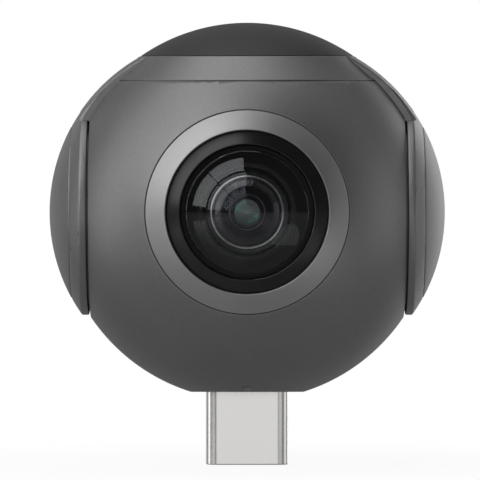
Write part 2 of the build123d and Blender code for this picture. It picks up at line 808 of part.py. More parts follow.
def board_screws():
    """Four screws through spreader and board into the rear shell."""
    under_head = spreader_low + spreader_thickness
    with BuildPart() as screws:
        with BuildSketch(front_optics.offset(under_head)):
            with board_boss_places():
                Circle(board_screw_head_radius)
        extrude(amount=board_screw_head)
        with BuildSketch(front_optics.offset(under_head)):
            with board_boss_places():
                Circle(board_screw_radius)
        extrude(amount=-under_head - half_board - board_screw_depth)
    return save(screws.part, "board_screws")


def sensor_screws():
    """Three screws behind each sensor board."""
    with BuildPart() as screws:
        for optics in (front_optics, rear_optics):
            with BuildSketch(optics.offset(sensor_board_back)):
                with sensor_boss_places():
                    Circle(sensor_screw_head_radius)
            extrude(amount=-sensor_screw_head)
            with BuildSketch(optics.offset(sensor_board_back)):
                with sensor_boss_places():
                    Circle(sensor_screw_radius)
            extrude(amount=sensor_board_thickness + sensor_screw_depth)
    return save(screws.part, "sensor_screws")


def shield_can():
    """Thin metal can over the memory on the rear of the board."""
    with BuildPart() as can:
        with BuildSketch(rear_optics.offset(half_board)):
            Rectangle(shield_width, shield_length)
        extrude(amount=shield_height)
        with BuildSketch(rear_optics.offset(half_board)):
            Rectangle(shield_width - 2 * shield_wall, shield_length - 2 * shield_wall)
        extrude(amount=shield_height - shield_wall, mode=Mode.SUBTRACT)
    return save(can.part, "shield_can")


def board_connectors():
    """Flat cable connectors: one on each side of the main board and one behind each sensor."""
    with BuildPart() as connectors:
        for optics in (front_optics, rear_optics):
            with BuildSketch(optics.offset(half_board)):
                with Locations((0, board_connector_z)):
                    Rectangle(connector_width, connector_length)
            extrude(amount=connector_height)
            with BuildSketch(optics.offset(sensor_board_back)):
                with Locations((0, sensor_connector_z)):
                    Rectangle(connector_width, connector_length)
            extrude(amount=-connector_height)
    return save(connectors.part, "board_connectors")


def light_pipe():
    """Clear rod that carries the light from the board to the dimple."""
    start = middle.origin + pipe_direction() * (ball_radius - dimple_depth - pipe_recess)
    corner = middle.origin + pipe_direction() * (pipe_level / pipe_direction().Z)
    end = Vector(0, -half_board - led_height - fit_gap, corner.Z)
    with BuildPart() as pipe:
        with BuildLine() as path:
            FilletPolyline(start, corner, end, radius=pipe_bend)
        with BuildSketch(Plane(origin=start, z_dir=corner - start)):
            Circle(pipe_radius)
        sweep()
    return save(pipe.part, "light_pipe")


def plug_shell():
    """Deep drawn metal tube of the plug."""
    with BuildPart() as tube:
        with BuildSketch(Plane.XY.offset(-plug_length)):
            SlotOverall(plug_width, plug_thickness)
        extrude(amount=plug_length + plug_inside)
        fillet(tube.faces().sort_by(Axis.Z)[0].edges(), radius=plug_nose_round)
        with BuildSketch(Plane.XY.offset(-plug_length)):
            SlotOverall(plug_width - 2 * plug_wall, plug_thickness - 2 * plug_wall)
        extrude(amount=plug_length + plug_inside, mode=Mode.SUBTRACT)
    return save(tube.part, "plug_shell")


def contact_rows(low, high, width, thickness):
    """Two rows of flat strips along the plug, facing each other across its slot."""
    with BuildPart() as rows:
        with BuildSketch(Plane.XY.offset(low)):
            with GridLocations(contact_pitch, contact_row_gap, contact_count, 2):
                Rectangle(width, thickness)
        extrude(amount=high - low)
    return rows.part


def latch_outline(side, gap):
    """Outline of a side spring: a flat strip with a hook that stands into the slot."""
    outer = plug_slot_width / 2 + latch_thickness
    inner = plug_slot_width / 2
    low = mouth + latch_start - gap
    high = mouth + latch_end + gap
    hook = inner - latch_hook
    return [
        (side * (outer + gap), low), (side * (outer + gap), high), (side * inner, high),
        (side * inner, low + 2 * latch_thickness + 2 * latch_hook),
        (side * hook, low + latch_thickness + latch_hook), (side * inner, low + latch_thickness),
        (side * inner, low),
    ]


def latch_solid(side, gap):
    """Side spring, or with a gap the pocket that it sits in."""
    with BuildPart() as latch:
        with BuildSketch(Plane.XZ):
            with BuildLine():
                Polyline(*latch_outline(side, gap), close=True)
            make_face()
        extrude(amount=latch_height / 2 + gap, both=True)
    return latch.part


def plug_core():
    """Plastic core of the plug, with the slot, the grooves for the contacts and the side pockets."""
    grooves = contact_rows(mouth, plug_inside, contact_width + 2 * fit_gap, contact_thickness + 2 * fit_gap)
    pockets = [latch_solid(side, fit_gap) for side in (-1, 1)]
    width = plug_width - 2 * plug_wall - 2 * fit_gap
    thickness = plug_thickness - 2 * plug_wall - 2 * fit_gap
    with BuildPart() as core:
        with BuildSketch(Plane.XY.offset(mouth)):
            SlotOverall(width, thickness)
        extrude(amount=plug_inside - mouth)
        with BuildSketch(Plane.XY.offset(mouth)):
            Rectangle(plug_slot_width, plug_slot_height)
        extrude(amount=plug_slot_depth, mode=Mode.SUBTRACT)
        add(grooves, mode=Mode.SUBTRACT)
        for pocket in pockets:
            add(pocket, mode=Mode.SUBTRACT)
    return save(core.part, "plug_core")


def plug_contacts():
    """Twenty four contact strips, with tails that lie on both faces of the board."""
    strips = contact_rows(mouth + contact_start, plug_inside + contact_tail, contact_width, contact_thickness)
    return save(strips, "plug_contacts")


def plug_latches():
    """Two side springs that hold the plug in its socket."""
    latches = [latch_solid(side, 0) for side in (-1, 1)]
    with BuildPart() as pair:
        for latch in latches:
            add(latch)
    return save(pair.part, "plug_latches")


def plug_bracket():
    """Stamped bracket round the plug, with two tabs soldered to the rear of the board."""
    tab_place = bracket_width / 2 - bracket_tab_width / 2
    with BuildPart() as bracket:
        with BuildSketch(Plane.XY.offset(floor_wall)):
            Rectangle(bracket_width, bracket_depth)
            SlotOverall(plug_width + 2 * fit_gap, plug_thickness + 2 * fit_gap, mode=Mode.SUBTRACT)
        extrude(amount=bracket_thickness)
        with BuildSketch(Plane.XY.offset(floor_wall)):
            with Locations((tab_place, half_board + bracket_tab_thickness / 2),
                           (-tab_place, half_board + bracket_tab_thickness / 2)):
                Rectangle(bracket_tab_width, bracket_tab_thickness)
        extrude(amount=bracket_tab_height)
    return save(bracket.part, "plug_bracket")


shell("front_shell", front_optics, True)
shell("rear_shell", rear_optics, False)
side_frame()
frame_screws()
top_cap()
side_cap("right_cap", right_side)
side_cap("left_cap", left_side)
for side_name, optics in (("front", front_optics), ("rear", rear_optics)):
    lens_module(side_name, optics)
main_board()
block("processor", front_optics.offset(half_board), processor_size, processor_size, processor_height)
block("thermal_pad", front_optics.offset(half_board + processor_height), processor_size, processor_size,
      pad_height)
heat_spreader()
shield_can()
block("memory_chip", rear_optics.offset(half_board), memory_width, memory_length, memory_height)
board_connectors()
board_screws()
sensor_screws()
light_pipe()
block("status_led", front_optics.offset(half_board), led_width, led_length, led_height, 0, pipe_level)
plug_shell()
plug_core()
plug_contacts()
plug_latches()
plug_bracket()
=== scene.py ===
import logging
import math
from abc import ABC, abstractmethod
from collections import Counter
from dataclasses import dataclass, field
from enum import Enum
from typing import Any, Callable, Sequence

import bpy
from mathutils import Matrix, Vector


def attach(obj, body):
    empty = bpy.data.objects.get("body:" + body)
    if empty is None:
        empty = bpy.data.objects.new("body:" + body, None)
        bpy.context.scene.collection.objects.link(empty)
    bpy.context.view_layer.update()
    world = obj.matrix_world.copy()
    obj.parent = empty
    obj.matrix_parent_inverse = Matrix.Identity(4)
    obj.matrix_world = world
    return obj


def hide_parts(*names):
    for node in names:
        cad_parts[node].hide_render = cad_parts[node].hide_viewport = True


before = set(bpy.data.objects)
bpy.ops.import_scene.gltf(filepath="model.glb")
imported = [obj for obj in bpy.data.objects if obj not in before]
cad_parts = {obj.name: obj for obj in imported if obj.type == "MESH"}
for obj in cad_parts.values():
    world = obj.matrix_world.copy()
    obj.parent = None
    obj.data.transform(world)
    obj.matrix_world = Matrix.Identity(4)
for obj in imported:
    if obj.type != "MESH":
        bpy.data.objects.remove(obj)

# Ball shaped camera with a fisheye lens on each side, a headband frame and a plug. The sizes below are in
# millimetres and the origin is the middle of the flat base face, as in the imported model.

logging.basicConfig(level=logging.INFO, format="%(message)s")
log = logging.getLogger("camera")

MM = 0.001
BODY = "root"
Piece = bpy.types.Object
Socket = bpy.types.NodeSocket
Colour = tuple[float, float, float]
Outline = Sequence[tuple[float, ...]]  # corners as radius, height and, where there is one, the radius of a rounding


class Cut(Enum):
    """How a tool solid acts on a piece."""

    JOIN = "UNION"
    REMOVE = "DIFFERENCE"
    KEEP = "INTERSECT"


class Side(Enum):
    """Which way a lens looks."""

    FRONT = "front"
    REAR = "rear"


class Shape(Enum):
    """Outline of a soft lamp."""

    OBLONG = "RECTANGLE"
    OVAL = "ELLIPSE"


@dataclass(frozen=True)
class BallSizes:
    """Sizes that the whole camera shares, in millimetres and degrees."""

    radius: float = 18.82
    base_radius: float = 5.6
    ring_low: float = 13.09
    ring_high: float = 15.58
    ring_slope: float = 1.55
    reach: float = 22.0

    @property
    def height(self) -> float:
        """Height of the ball's middle over the base face."""
        return math.sqrt(self.radius**2 - self.base_radius**2)

    @property
    def dip(self) -> float:
        """How far the ring's edges fall for each millimetre towards a lens."""
        return math.tan(math.radians(self.ring_slope))

    @property
    def upward(self) -> Vector:
        """Direction square to the ring's edges in the front half."""
        return Vector((0, -math.sin(math.radians(self.ring_slope)), math.cos(math.radians(self.ring_slope))))


BALL = BallSizes()


@dataclass(frozen=True)
class Spindle:
    """Axis that a piece is turned about.

    Attributes:
        origin: Point on the axis, in millimetres.
        along: Unit vector along the axis.
        out: Unit vector in which the outline's radius is drawn.
    """

    origin: Vector
    along: Vector
    out: Vector

    def place(self, radius: float, height: float) -> Vector:
        """Point at a radius and a height on the axis, in metres."""
        return (self.origin + self.out * radius + self.along * height) * MM

    def turned(self, degrees: float) -> "Spindle":
        """The same axis with its outline drawn at another angle."""
        return Spindle(self.origin, self.along, Matrix.Rotation(math.radians(degrees), 3, self.along) @ self.out)

    def moved(self, x: float, z: float) -> "Spindle":
        """The same axis, shifted."""
        return Spindle(self.origin + Vector((x, 0, z)), self.along, self.out)


MIDDLE = Vector((0.0, 0.0, BALL.height))
LENS = Spindle(MIDDLE, Vector((0, -1, 0)), Vector((1, 0, 0)))
RIGHT = Spindle(MIDDLE, Vector((1, 0, 0)), Vector((0, 1, 0)))
UP = Spindle(MIDDLE, Vector((0, 0, 1)), Vector((1, 0, 0)))


def sag(curve: float, radius: float) -> float:
    """How far a spherical face of a curve falls away from its middle at a radius."""
    return curve - math.sqrt(curve**2 - radius**2)


def rod(radius: float, low: float, high: float) -> list[tuple[float, ...]]:
    """Outline of a plain cylinder between two heights."""
    return [(0.0, low), (radius, low), (radius, high), (0.0, high)]


def bow(centre: float, curve: float, start: float, end: float, step: float = 1.5) -> list[tuple[float, ...]]:
    """Points along a spherical face.

    Args:
        centre: Height of the sphere's middle on the axis.
        curve: Radius of the sphere.
        start: Angle from the axis of the first point, in degrees.
        end: Angle from the axis of the last point, in degrees.
        step: Largest angle between two points.

    Returns:
        The points.
    """
    count = max(2, math.ceil(abs(end - start) / step))
    angles = [math.radians(start + (end - start) * i / count) for i in range(count + 1)]
    return [(curve * math.sin(a), centre + curve * math.cos(a)) for a in angles]


def face(vertex: float, curve: float, start: float, end: float, count: int) -> list[tuple[float, ...]]:
    """Points along a lens face, by radius.

    Args:
        vertex: Height of the face's middle.
        curve: Radius of the face; negative where it rises towards its rim.
        start: Radius of the first point.
        end: Radius of the last point.
        count: Number of steps.

    Returns:
        The points.
    """
    sign = 1 if curve > 0 else -1
    first, last = math.asin(start / abs(curve)), math.asin(end / abs(curve))
    angles = [first + (last - first) * i / count for i in range(count + 1)]
    return [(abs(curve) * math.sin(a), vertex - sign * abs(curve) * (1 - math.cos(a))) for a in angles]


def soften(outline: Outline, closed: bool, segments: int) -> list[tuple[float, float]]:
    """Round the corners of an outline.

    Args:
        outline: The corners.
        closed: True if the last corner joins the first.
        segments: Number of straight steps in each rounding.

    Returns:
        The points of the rounded outline.
    """
    straight = math.radians(88)
    points: list[tuple[float, float]] = []
    count = len(outline)
    for i, (x, y, *rounding) in enumerate(outline):
        here = Vector((x, y))
        before = Vector(outline[i - 1][:2]) - here
        after = Vector(outline[(i + 1) % count][:2]) - here
        inner = closed or 0 < i < count - 1
        half = before.angle(after) / 2 if rounding and inner else math.pi
        if half > straight:
            points.append((x, y))
            continue
        reach = min(rounding[0] / math.tan(half), 0.42 * before.length, 0.42 * after.length)
        radius = reach * math.tan(half)
        middle = here + (before.normalized() + after.normalized()).normalized() * (radius / math.sin(half))
        first, last = here + before.normalized() * reach, here + after.normalized() * reach
        sweep = (first - middle).angle_signed(last - middle)
        start = math.atan2((first - middle).y, (first - middle).x)
        for step in range(segments + 1):
            angle = start - sweep * step / segments
            points.append((middle.x + radius * math.cos(angle), middle.y + radius * math.sin(angle)))
    return points


class Bench:
    """Blender's own tools, used as by hand on one piece at a time. Lengths are in millimetres."""

    @staticmethod
    def mode(name: str) -> None:
        """Change to the mode EDIT or OBJECT."""
        bpy.ops.object.mode_set(mode=name)

    @staticmethod
    def pick(action: str = "SELECT") -> None:
        """Select all of the open piece, or none with DESELECT."""
        bpy.ops.mesh.select_all(action=action)

    @classmethod
    def clear(cls) -> None:
        """Leave edit mode and select nothing."""
        if bpy.context.object and bpy.context.object.mode != "OBJECT":
            cls.mode("OBJECT")
        bpy.ops.object.select_all(action="DESELECT")

    @classmethod
    def take(cls, *pieces: Piece) -> None:
        """Select pieces alone, the first one as the active one.

        Args:
            pieces: The pieces.
        """
        cls.clear()
        for piece in pieces:
            piece.select_set(True)
        bpy.context.view_layer.objects.active = pieces[0]

    @classmethod
    def edit(cls, piece: Piece) -> None:
        """Open a piece in edit mode with all of its points selected.

        Args:
            piece: The piece.
        """
        cls.take(piece)
        cls.mode("EDIT")
        bpy.ops.mesh.select_mode(type="VERT")
        cls.pick()

    @classmethod
    def ready(cls, piece: Piece, kind: str) -> None:
        """Deselect all of a piece, so that some of it can be chosen in code.

        Args:
            piece: The piece.
            kind: What will be chosen, FACE or EDGE.
        """
        cls.edit(piece)
        bpy.ops.mesh.select_mode(type=kind)
        cls.pick("DESELECT")
        cls.mode("OBJECT")

    @classmethod
    def apply(cls, piece: Piece, kind: str, **settings: Any) -> None:
        """Put a modifier on a piece and apply it.

        Args:
            piece: The piece.
            kind: The modifier's type.
            settings: Its settings.
        """
        cls.take(piece)
        modifier = piece.modifiers.new(kind.lower(), kind)
        for key, value in settings.items():
            setattr(modifier, key, value)
        bpy.ops.object.modifier_apply(modifier=modifier.name)

    @classmethod
    def close(cls, piece: Piece, merge: float = 0.001) -> Piece:
        """Merge doubles, turn all faces outwards, leave edit mode and put the place into the mesh.

        Args:
            piece: The piece on the bench.
            merge: Distance within which points become one.

        Returns:
            The same piece.
        """
        cls.edit(piece)
        bpy.ops.mesh.remove_doubles(threshold=merge * MM)
        bpy.ops.mesh.normals_make_consistent(inside=False)
        cls.mode("OBJECT")
        bpy.ops.object.transform_apply(location=True, rotation=True, scale=True)
        return piece

    @classmethod
    def draw(cls, name: str, places: Sequence[Vector]) -> Piece:
        """Draw a chain of edges by extruding one point from place to place.

        Args:
            name: Name of the new object.
            places: The points, in metres.

        Returns:
            The new object, in edit mode with all of it selected.
        """
        cls.clear()
        bpy.ops.mesh.primitive_plane_add(size=MM, location=places[0])
        piece = bpy.context.object
        piece.name = name
        cls.edit(piece)
        bpy.ops.mesh.merge(type="CENTER")
        for before, after in zip(places, places[1:]):
            bpy.ops.mesh.extrude_vertices_move(TRANSFORM_OT_translate={"value": after - before})
        cls.pick()
        return piece

    @classmethod
    def turn(cls, name: str, spindle: Spindle, outline: Outline, steps: int, segments: int = 3) -> Piece:
        """Turn an outline about an axis, as on a lathe.

        Args:
            name: Name of the new object.
            spindle: The axis.
            outline: The corners; an outline that starts on the axis also ends there.
            steps: Number of steps all round.
            segments: Number of steps in each rounding.

        Returns:
            The new closed solid.
        """
        hollow = outline[0][0] > 1e-6
        points = soften(outline, hollow, segments)
        if hollow:
            points.append(points[0])
        piece = cls.draw(name, [spindle.place(radius, height) for radius, height in points])
        bpy.ops.mesh.spin(steps=steps, angle=math.tau, center=spindle.origin * MM, axis=spindle.along)
        return cls.close(piece)

    @classmethod
    def prism(cls, name: str, corners: Sequence[Vector], depth: Vector) -> Piece:
        """Extrude a flat outline.

        Args:
            name: Name of the new object.
            corners: The outline.
            depth: How far and which way it is extruded.

        Returns:
            The new closed solid.
        """
        piece = cls.draw(name, [corner * MM for corner in [*corners, corners[0]]])
        bpy.ops.mesh.remove_doubles(threshold=1e-7)
        cls.pick()
        bpy.ops.mesh.edge_face_add()
        bpy.ops.mesh.extrude_region_move(TRANSFORM_OT_translate={"value": depth * MM})
        return cls.close(piece)

    @classmethod
    def slice(cls, piece: Piece, place: Vector, outside: Vector) -> None:
        """Saw off what lies beyond a plane and close the cut.

        Args:
            piece: A closed solid.
            place: Point on the plane.
            outside: Direction of the part that goes.
        """
        cls.edit(piece)
        bpy.ops.mesh.bisect(plane_co=place * MM, plane_no=outside, use_fill=True, clear_outer=True, threshold=1e-7)
        cls.close(piece)

    @classmethod
    def copy(cls, piece: Piece, name: str) -> Piece:
        """Copy a piece with its own mesh and open the copy.

        Args:
            piece: The piece to copy.
            name: Name of the copy.

        Returns:
            The copy, in edit mode.
        """
        cls.take(piece)
        bpy.ops.object.duplicate(linked=False)
        twin = bpy.context.object
        twin.name = name
        cls.edit(twin)
        return twin

    @classmethod
    def mirror(cls, piece: Piece, name: str, axis: int) -> Piece:
        """Copy a piece mirrored across the plane through the origin square to an axis.

        Args:
            piece: The piece to copy.
            name: Name of the copy.
            axis: 0, 1 or 2 for X, Y or Z.

        Returns:
            The mirrored copy.
        """
        twin = cls.copy(piece, name)
        scale = tuple(-1.0 if i == axis else 1.0 for i in range(3))
        bpy.ops.transform.resize(value=scale, center_override=(0, 0, 0))
        return cls.close(twin)

    @classmethod
    def half_turn(cls, piece: Piece, name: str) -> Piece:
        """Copy a piece turned half round the upright axis.

        Args:
            piece: The piece to copy.
            name: Name of the copy.

        Returns:
            The copy on the other side.
        """
        twin = cls.copy(piece, name)
        bpy.ops.transform.rotate(value=math.pi, orient_axis="Z", center_override=(0, 0, 0))
        cls.mode("OBJECT")
        return twin

    @classmethod
    def gable(cls, piece: Piece, level: float) -> Piece:
        """Saw a piece off under a level that dips towards both lenses, with the rear mirrored from the front.

        Args:
            piece: A solid turned about the upright axis.
            level: The level's height at its ridge, over the ball's middle.

        Returns:
            The same piece.
        """
        cls.slice(piece, MIDDLE, Vector((0, 1, 0)))
        cls.slice(piece, Vector((0, 0, BALL.height + level)), -BALL.upward)
        cls.ready(piece, "FACE")
        for polygon in piece.data.polygons:
            polygon.select = abs(polygon.center.y) < 1e-7 and abs(polygon.normal.y) > 0.99
        cls.mode("EDIT")
        bpy.ops.mesh.delete(type="FACE")
        cls.take(piece, cls.mirror(piece, "other_half", 1))
        bpy.ops.object.join()
        return cls.close(piece, 0.003)

    @classmethod
    def combine(cls, piece: Piece, tool: Piece, how: Cut) -> None:
        """Join, cut or trim a solid with another one, which is used up.

        Args:
            piece: The solid that stays.
            tool: The solid that acts on it.
            how: What it does.
        """
        cls.apply(piece, "BOOLEAN", operation=how.value, solver="EXACT", object=tool)
        bpy.data.objects.remove(tool, do_unlink=True)

    @classmethod
    def round_edges(cls, piece: Piece, width: float, segments: int, angle: float, merge: float) -> None:
        """Bevel every edge that is sharper than an angle.

        Args:
            piece: The piece.
            width: Width of the bevel.
            segments: Number of steps across it.
            angle: Smallest angle between two faces that counts as an edge, in degrees.
            merge: Points nearer than this become one first.
        """
        cls.close(piece, merge)
        cls.apply(piece, "BEVEL", width=width * MM, segments=segments, limit_method="ANGLE",
                  angle_limit=math.radians(angle), use_clamp_overlap=False, miter_outer="MITER_ARC")
        cls.close(piece, merge / 4)

    @classmethod
    def round_chosen(cls, piece: Piece, width: float, chosen: Callable[[Vector], bool], segments: int,
                     angle: float, merge: float) -> None:
        """Bevel the outer edges that are sharper than an angle and lie where they should be round.

        Args:
            piece: The piece.
            width: Width of the bevel.
            chosen: Tells from the middle of an edge whether it is rounded.
            segments: Number of steps across it.
            angle: Smallest angle between two faces that counts as an edge, in degrees.
            merge: Points nearer than this become one first.
        """
        cls.close(piece, merge)
        cls.ready(piece, "EDGE")
        mesh = piece.data
        beside: dict[tuple[int, int], list[bpy.types.MeshPolygon]] = {}
        for polygon in mesh.polygons:
            for key in polygon.edge_keys:
                beside.setdefault(key, []).append(polygon)
        for edge in mesh.edges:
            pair = beside.get(edge.key, [])
            if len(pair) != 2 or pair[0].normal.angle(pair[1].normal, 0.0) < math.radians(angle):
                continue
            middle = (mesh.vertices[edge.vertices[0]].co + mesh.vertices[edge.vertices[1]].co) / 2
            outer = pair[0].normal.dot(pair[1].center - middle) < 0
            edge.select = outer and chosen(middle / MM)
        cls.mode("EDIT")
        bpy.ops.mesh.bevel(offset=width * MM, segments=segments, affect="EDGES", clamp_overlap=False,
                           miter_outer="ARC")
        cls.close(piece, merge / 4)

    @classmethod
    def smooth(cls, piece: Piece, angle: float = 50.0) -> None:
        """Shade a piece smooth but for its sharp edges, with its large faces true.

        Args:
            piece: The piece.
            angle: Angle from which an edge is sharp, in degrees.
        """
        cls.take(piece)
        bpy.ops.object.shade_smooth_by_angle(angle=math.radians(angle))
        cls.apply(piece, "WEIGHTED_NORMAL", keep_sharp=True, weight=60)


class Value:
    """Number in a shader that can be used in Python expressions."""

    def __init__(self, graph: "Graph", socket: Socket) -> None:
        """Wrap an output socket of a graph."""
        self.graph = graph
        self.socket = socket

    def _math(self, operation: str, *others: Any) -> "Value":
        """Result of a Math node, from its operation and its values in order."""
        node = self.graph.node("ShaderNodeMath", {"operation": operation}, dict(enumerate(others)))
        return Value(self.graph, node.outputs[0])

    def __add__(self, other: Any) -> "Value":
        """Sum."""
        return self._math("ADD", self, other)

    def __radd__(self, other: Any) -> "Value":
        """Sum, the number first."""
        return self._math("ADD", other, self)

    def __sub__(self, other: Any) -> "Value":
        """Difference."""
        return self._math("SUBTRACT", self, other)

    def __rsub__(self, other: Any) -> "Value":
        """Difference, the number first."""
        return self._math("SUBTRACT", other, self)

    def __mul__(self, other: Any) -> "Value":
        """Product."""
        return self._math("MULTIPLY", self, other)

    def __rmul__(self, other: Any) -> "Value":
        """Product, the number first."""
        return self._math("MULTIPLY", other, self)

    def __truediv__(self, other: Any) -> "Value":
        """Quotient."""
        return self._math("DIVIDE", self, other)

    def __gt__(self, other: Any) -> "Value":
        """1 where this is more."""
        return self._math("GREATER_THAN", self, other)

    def __lt__(self, other: Any) -> "Value":
        """1 where this is less."""
        return self._math("LESS_THAN", self, other)

    def wave(self, pitch: float) -> "Value":
        """Sine wave from 0 to 1 with a pitch."""
        return 0.5 + 0.5 * self._math("SINE", self * (math.tau / pitch))

    def size(self) -> "Value":
        """Value without its sign."""
        return self._math("ABSOLUTE", self)

    def root(self) -> "Value":
        """Square root."""
        return self._math("SQRT", self)

    def part(self) -> "Value":
        """What is left over a whole number."""
        return self._math("FRACT", self)

    def between(self, low: float, high: float, start: float = 0.0, end: float = 1.0) -> "Value":
        """Smooth step.

        Args:
            low: Where it starts.
            high: Where it ends.
            start: What it gives before low.
            end: What it gives past high.

        Returns:
            The eased value.
        """
        node = self.graph.node("ShaderNodeMapRange", {"interpolation_type": "SMOOTHSTEP"},
                               {"Value": self, "From Min": low, "From Max": high, "To Min": start, "To Max": end})
        return Value(self.graph, node.outputs["Result"])


class Graph:
    """Nodes of one material, or of the world."""

    def __init__(self, name: str, world: bool = False) -> None:
        """Start an empty material or world.

        Args:
            name: Its name.
            world: True for a world.
        """
        self.output = "ShaderNodeOutputWorld" if world else "ShaderNodeOutputMaterial"
        self.owner = (bpy.data.worlds if world else bpy.data.materials).new(name)
        self.owner.use_nodes = True
        self.tree = self.owner.node_tree
        self.tree.nodes.clear()

    def node(self, kind: str, settings: dict[str, Any] | None = None,
             inputs: dict[Any, Any] | None = None) -> bpy.types.Node:
        """Add a node.

        Args:
            kind: Its type.
            settings: What is set on the node itself, first.
            inputs: Values or links of its sockets, by name or number.

        Returns:
            The node.
        """
        node = self.tree.nodes.new(kind)
        for key, value in (settings or {}).items():
            setattr(node, key, value)
        for key, value in (inputs or {}).items():
            socket = node.inputs[key]
            if isinstance(value, Value):
                self.tree.links.new(value.socket, socket)
            elif isinstance(value, Socket):
                self.tree.links.new(value, socket)
            else:
                socket.default_value = value
        return node

    def place(self, origin: Vector = MIDDLE, stretch: tuple[float, float, float] = (1.0, 1.0, 1.0)) -> Socket:
        """Place on the camera, in millimetres from a point.

        Args:
            origin: The point, in millimetres.
            stretch: How much each axis counts.

        Returns:
            The vector.
        """
        where = self.node("ShaderNodeTexCoord").outputs["Object"]
        moved = self.node("ShaderNodeMapping", {"vector_type": "POINT"},
                          {"Vector": where, "Location": tuple(-a * s for a, s in zip(origin, stretch)),
                           "Scale": tuple(s / MM for s in stretch)})
        return moved.outputs["Vector"]

    def parts(self, vector: Socket) -> tuple[Value, Value, Value]:
        """X, Y and Z of a vector."""
        node = self.node("ShaderNodeSeparateXYZ", None, {"Vector": vector})
        return tuple(Value(self, node.outputs[i]) for i in range(3))

    def noise(self, vector: Socket, grain: float, detail: float, rough: float) -> Value:
        """Cloudy noise.

        Args:
            vector: Where it is read, in millimetres.
            grain: Size of its clouds, in millimetres.
            detail: How many finer layers it has.
            rough: How strong these are.

        Returns:
            Values about 0.5.
        """
        node = self.node("ShaderNodeTexNoise", {"noise_dimensions": "3D"},
                         {"Vector": vector, "Scale": 1 / grain, "Detail": detail, "Roughness": rough})
        return Value(self, node.outputs["Fac"])

    def cells(self, vector: Socket, scale: float, output: str) -> Socket:
        """Colour or Distance of small random cells, with so many cells in a millimetre."""
        return self.node("ShaderNodeTexVoronoi", {"feature": "F1"}, {"Vector": vector, "Scale": scale}).outputs[output]

    def rays(self) -> tuple[Value, Value]:
        """Tell apart the rays that reach a face.

        Returns:
            1 for rays from the camera, and 1 for rays off metal or through glass.
        """
        path = self.node("ShaderNodeLightPath").outputs
        camera, glossy, through = (Value(self, path[name])
                                   for name in ("Is Camera Ray", "Is Glossy Ray", "Is Transmission Ray"))
        return camera, glossy + through * (1 - glossy)

    def blend(self, amount: Value | float, first: Any, second: Any) -> Socket:
        """Mix two colours.

        Args:
            amount: 0 for the first, 1 for the second.
            first: A colour of three numbers, or a colour socket.
            second: The same.

        Returns:
            The mixed colour.
        """
        inputs = {0: amount, 6: first if not isinstance(first, tuple) else (*first, 1.0),
                  7: second if not isinstance(second, tuple) else (*second, 1.0)}
        return self.node("ShaderNodeMix", {"data_type": "RGBA", "blend_type": "MIX"}, inputs).outputs[2]

    def tones(self, amount: Value, colour: Colour, low: float, high: float, lift: float = 0.0) -> Socket:
        """Vary the strength of a colour.

        Args:
            amount: 0 for the first strength, 1 for the second.
            colour: The colour.
            low: The first strength.
            high: The second strength.
            lift: What is added to the second.

        Returns:
            The varied colour.
        """
        return self.blend(amount, tuple(c * low for c in colour), tuple(min(1.0, c * high + lift) for c in colour))

    def bump(self, height: Value, depth: float, strength: float) -> Socket:
        """Turn heights into a normal.

        Args:
            height: Heights from 0 to 1.
            depth: What 1 stands for, in millimetres.
            strength: How much of it shows.

        Returns:
            The normal.
        """
        return self.node("ShaderNodeBump", None, {"Height": height, "Distance": depth * MM,
                                                  "Strength": strength}).outputs["Normal"]

    def surface(self, **inputs: Any) -> Socket:
        """Add a Principled shader.

        Args:
            inputs: Values or links of its sockets, with underscores for the spaces in their names.

        Returns:
            The shader.
        """
        named = {key.replace("_", " "): value for key, value in inputs.items()}
        for key in ("Base Color", "Specular Tint"):
            if isinstance(named.get(key), tuple):
                named[key] = (*named[key], 1.0)
        return self.node("ShaderNodeBsdfPrincipled", None, named).outputs["BSDF"]

    def glow(self, strength: float, colour: Any = (1, 1, 1, 1)) -> Socket:
        """Add an Emission shader."""
        return self.node("ShaderNodeEmission", None, {"Color": colour, "Strength": strength}).outputs["Emission"]

    def either(self, amount: Value | Socket, first: Socket, second: Socket) -> Socket:
        """Mix two shaders: 0 for the first, 1 for the second."""
        return self.node("ShaderNodeMixShader", None, {0: amount, 1: first, 2: second}).outputs["Shader"]

    def done(self, shader: Socket) -> bpy.types.Material | bpy.types.World:
        """Connect a shader to the output."""
        self.node(self.output, None, {"Surface": shader})
        return self.owner


def radial(x: Value, y: Value) -> Value:
    """Distance from the origin."""
    return (x * x + y * y).root()


@dataclass(frozen=True)
class Finish(ABC):
    """A finish that can be put on pieces.

    Attributes:
        name: Name of its material.
    """

    name: str

    def make(self) -> bpy.types.Material:
        """Build the material."""
        graph = Graph(self.name)
        return graph.done(self.shade(graph, graph.place()))

    @abstractmethod
    def shade(self, graph: Graph, where: Socket) -> Socket:
        """Build the shader.

        Args:
            graph: The material's nodes.
            where: The place on the camera, in millimetres from the ball's middle.

        Returns:
            The shader.
        """


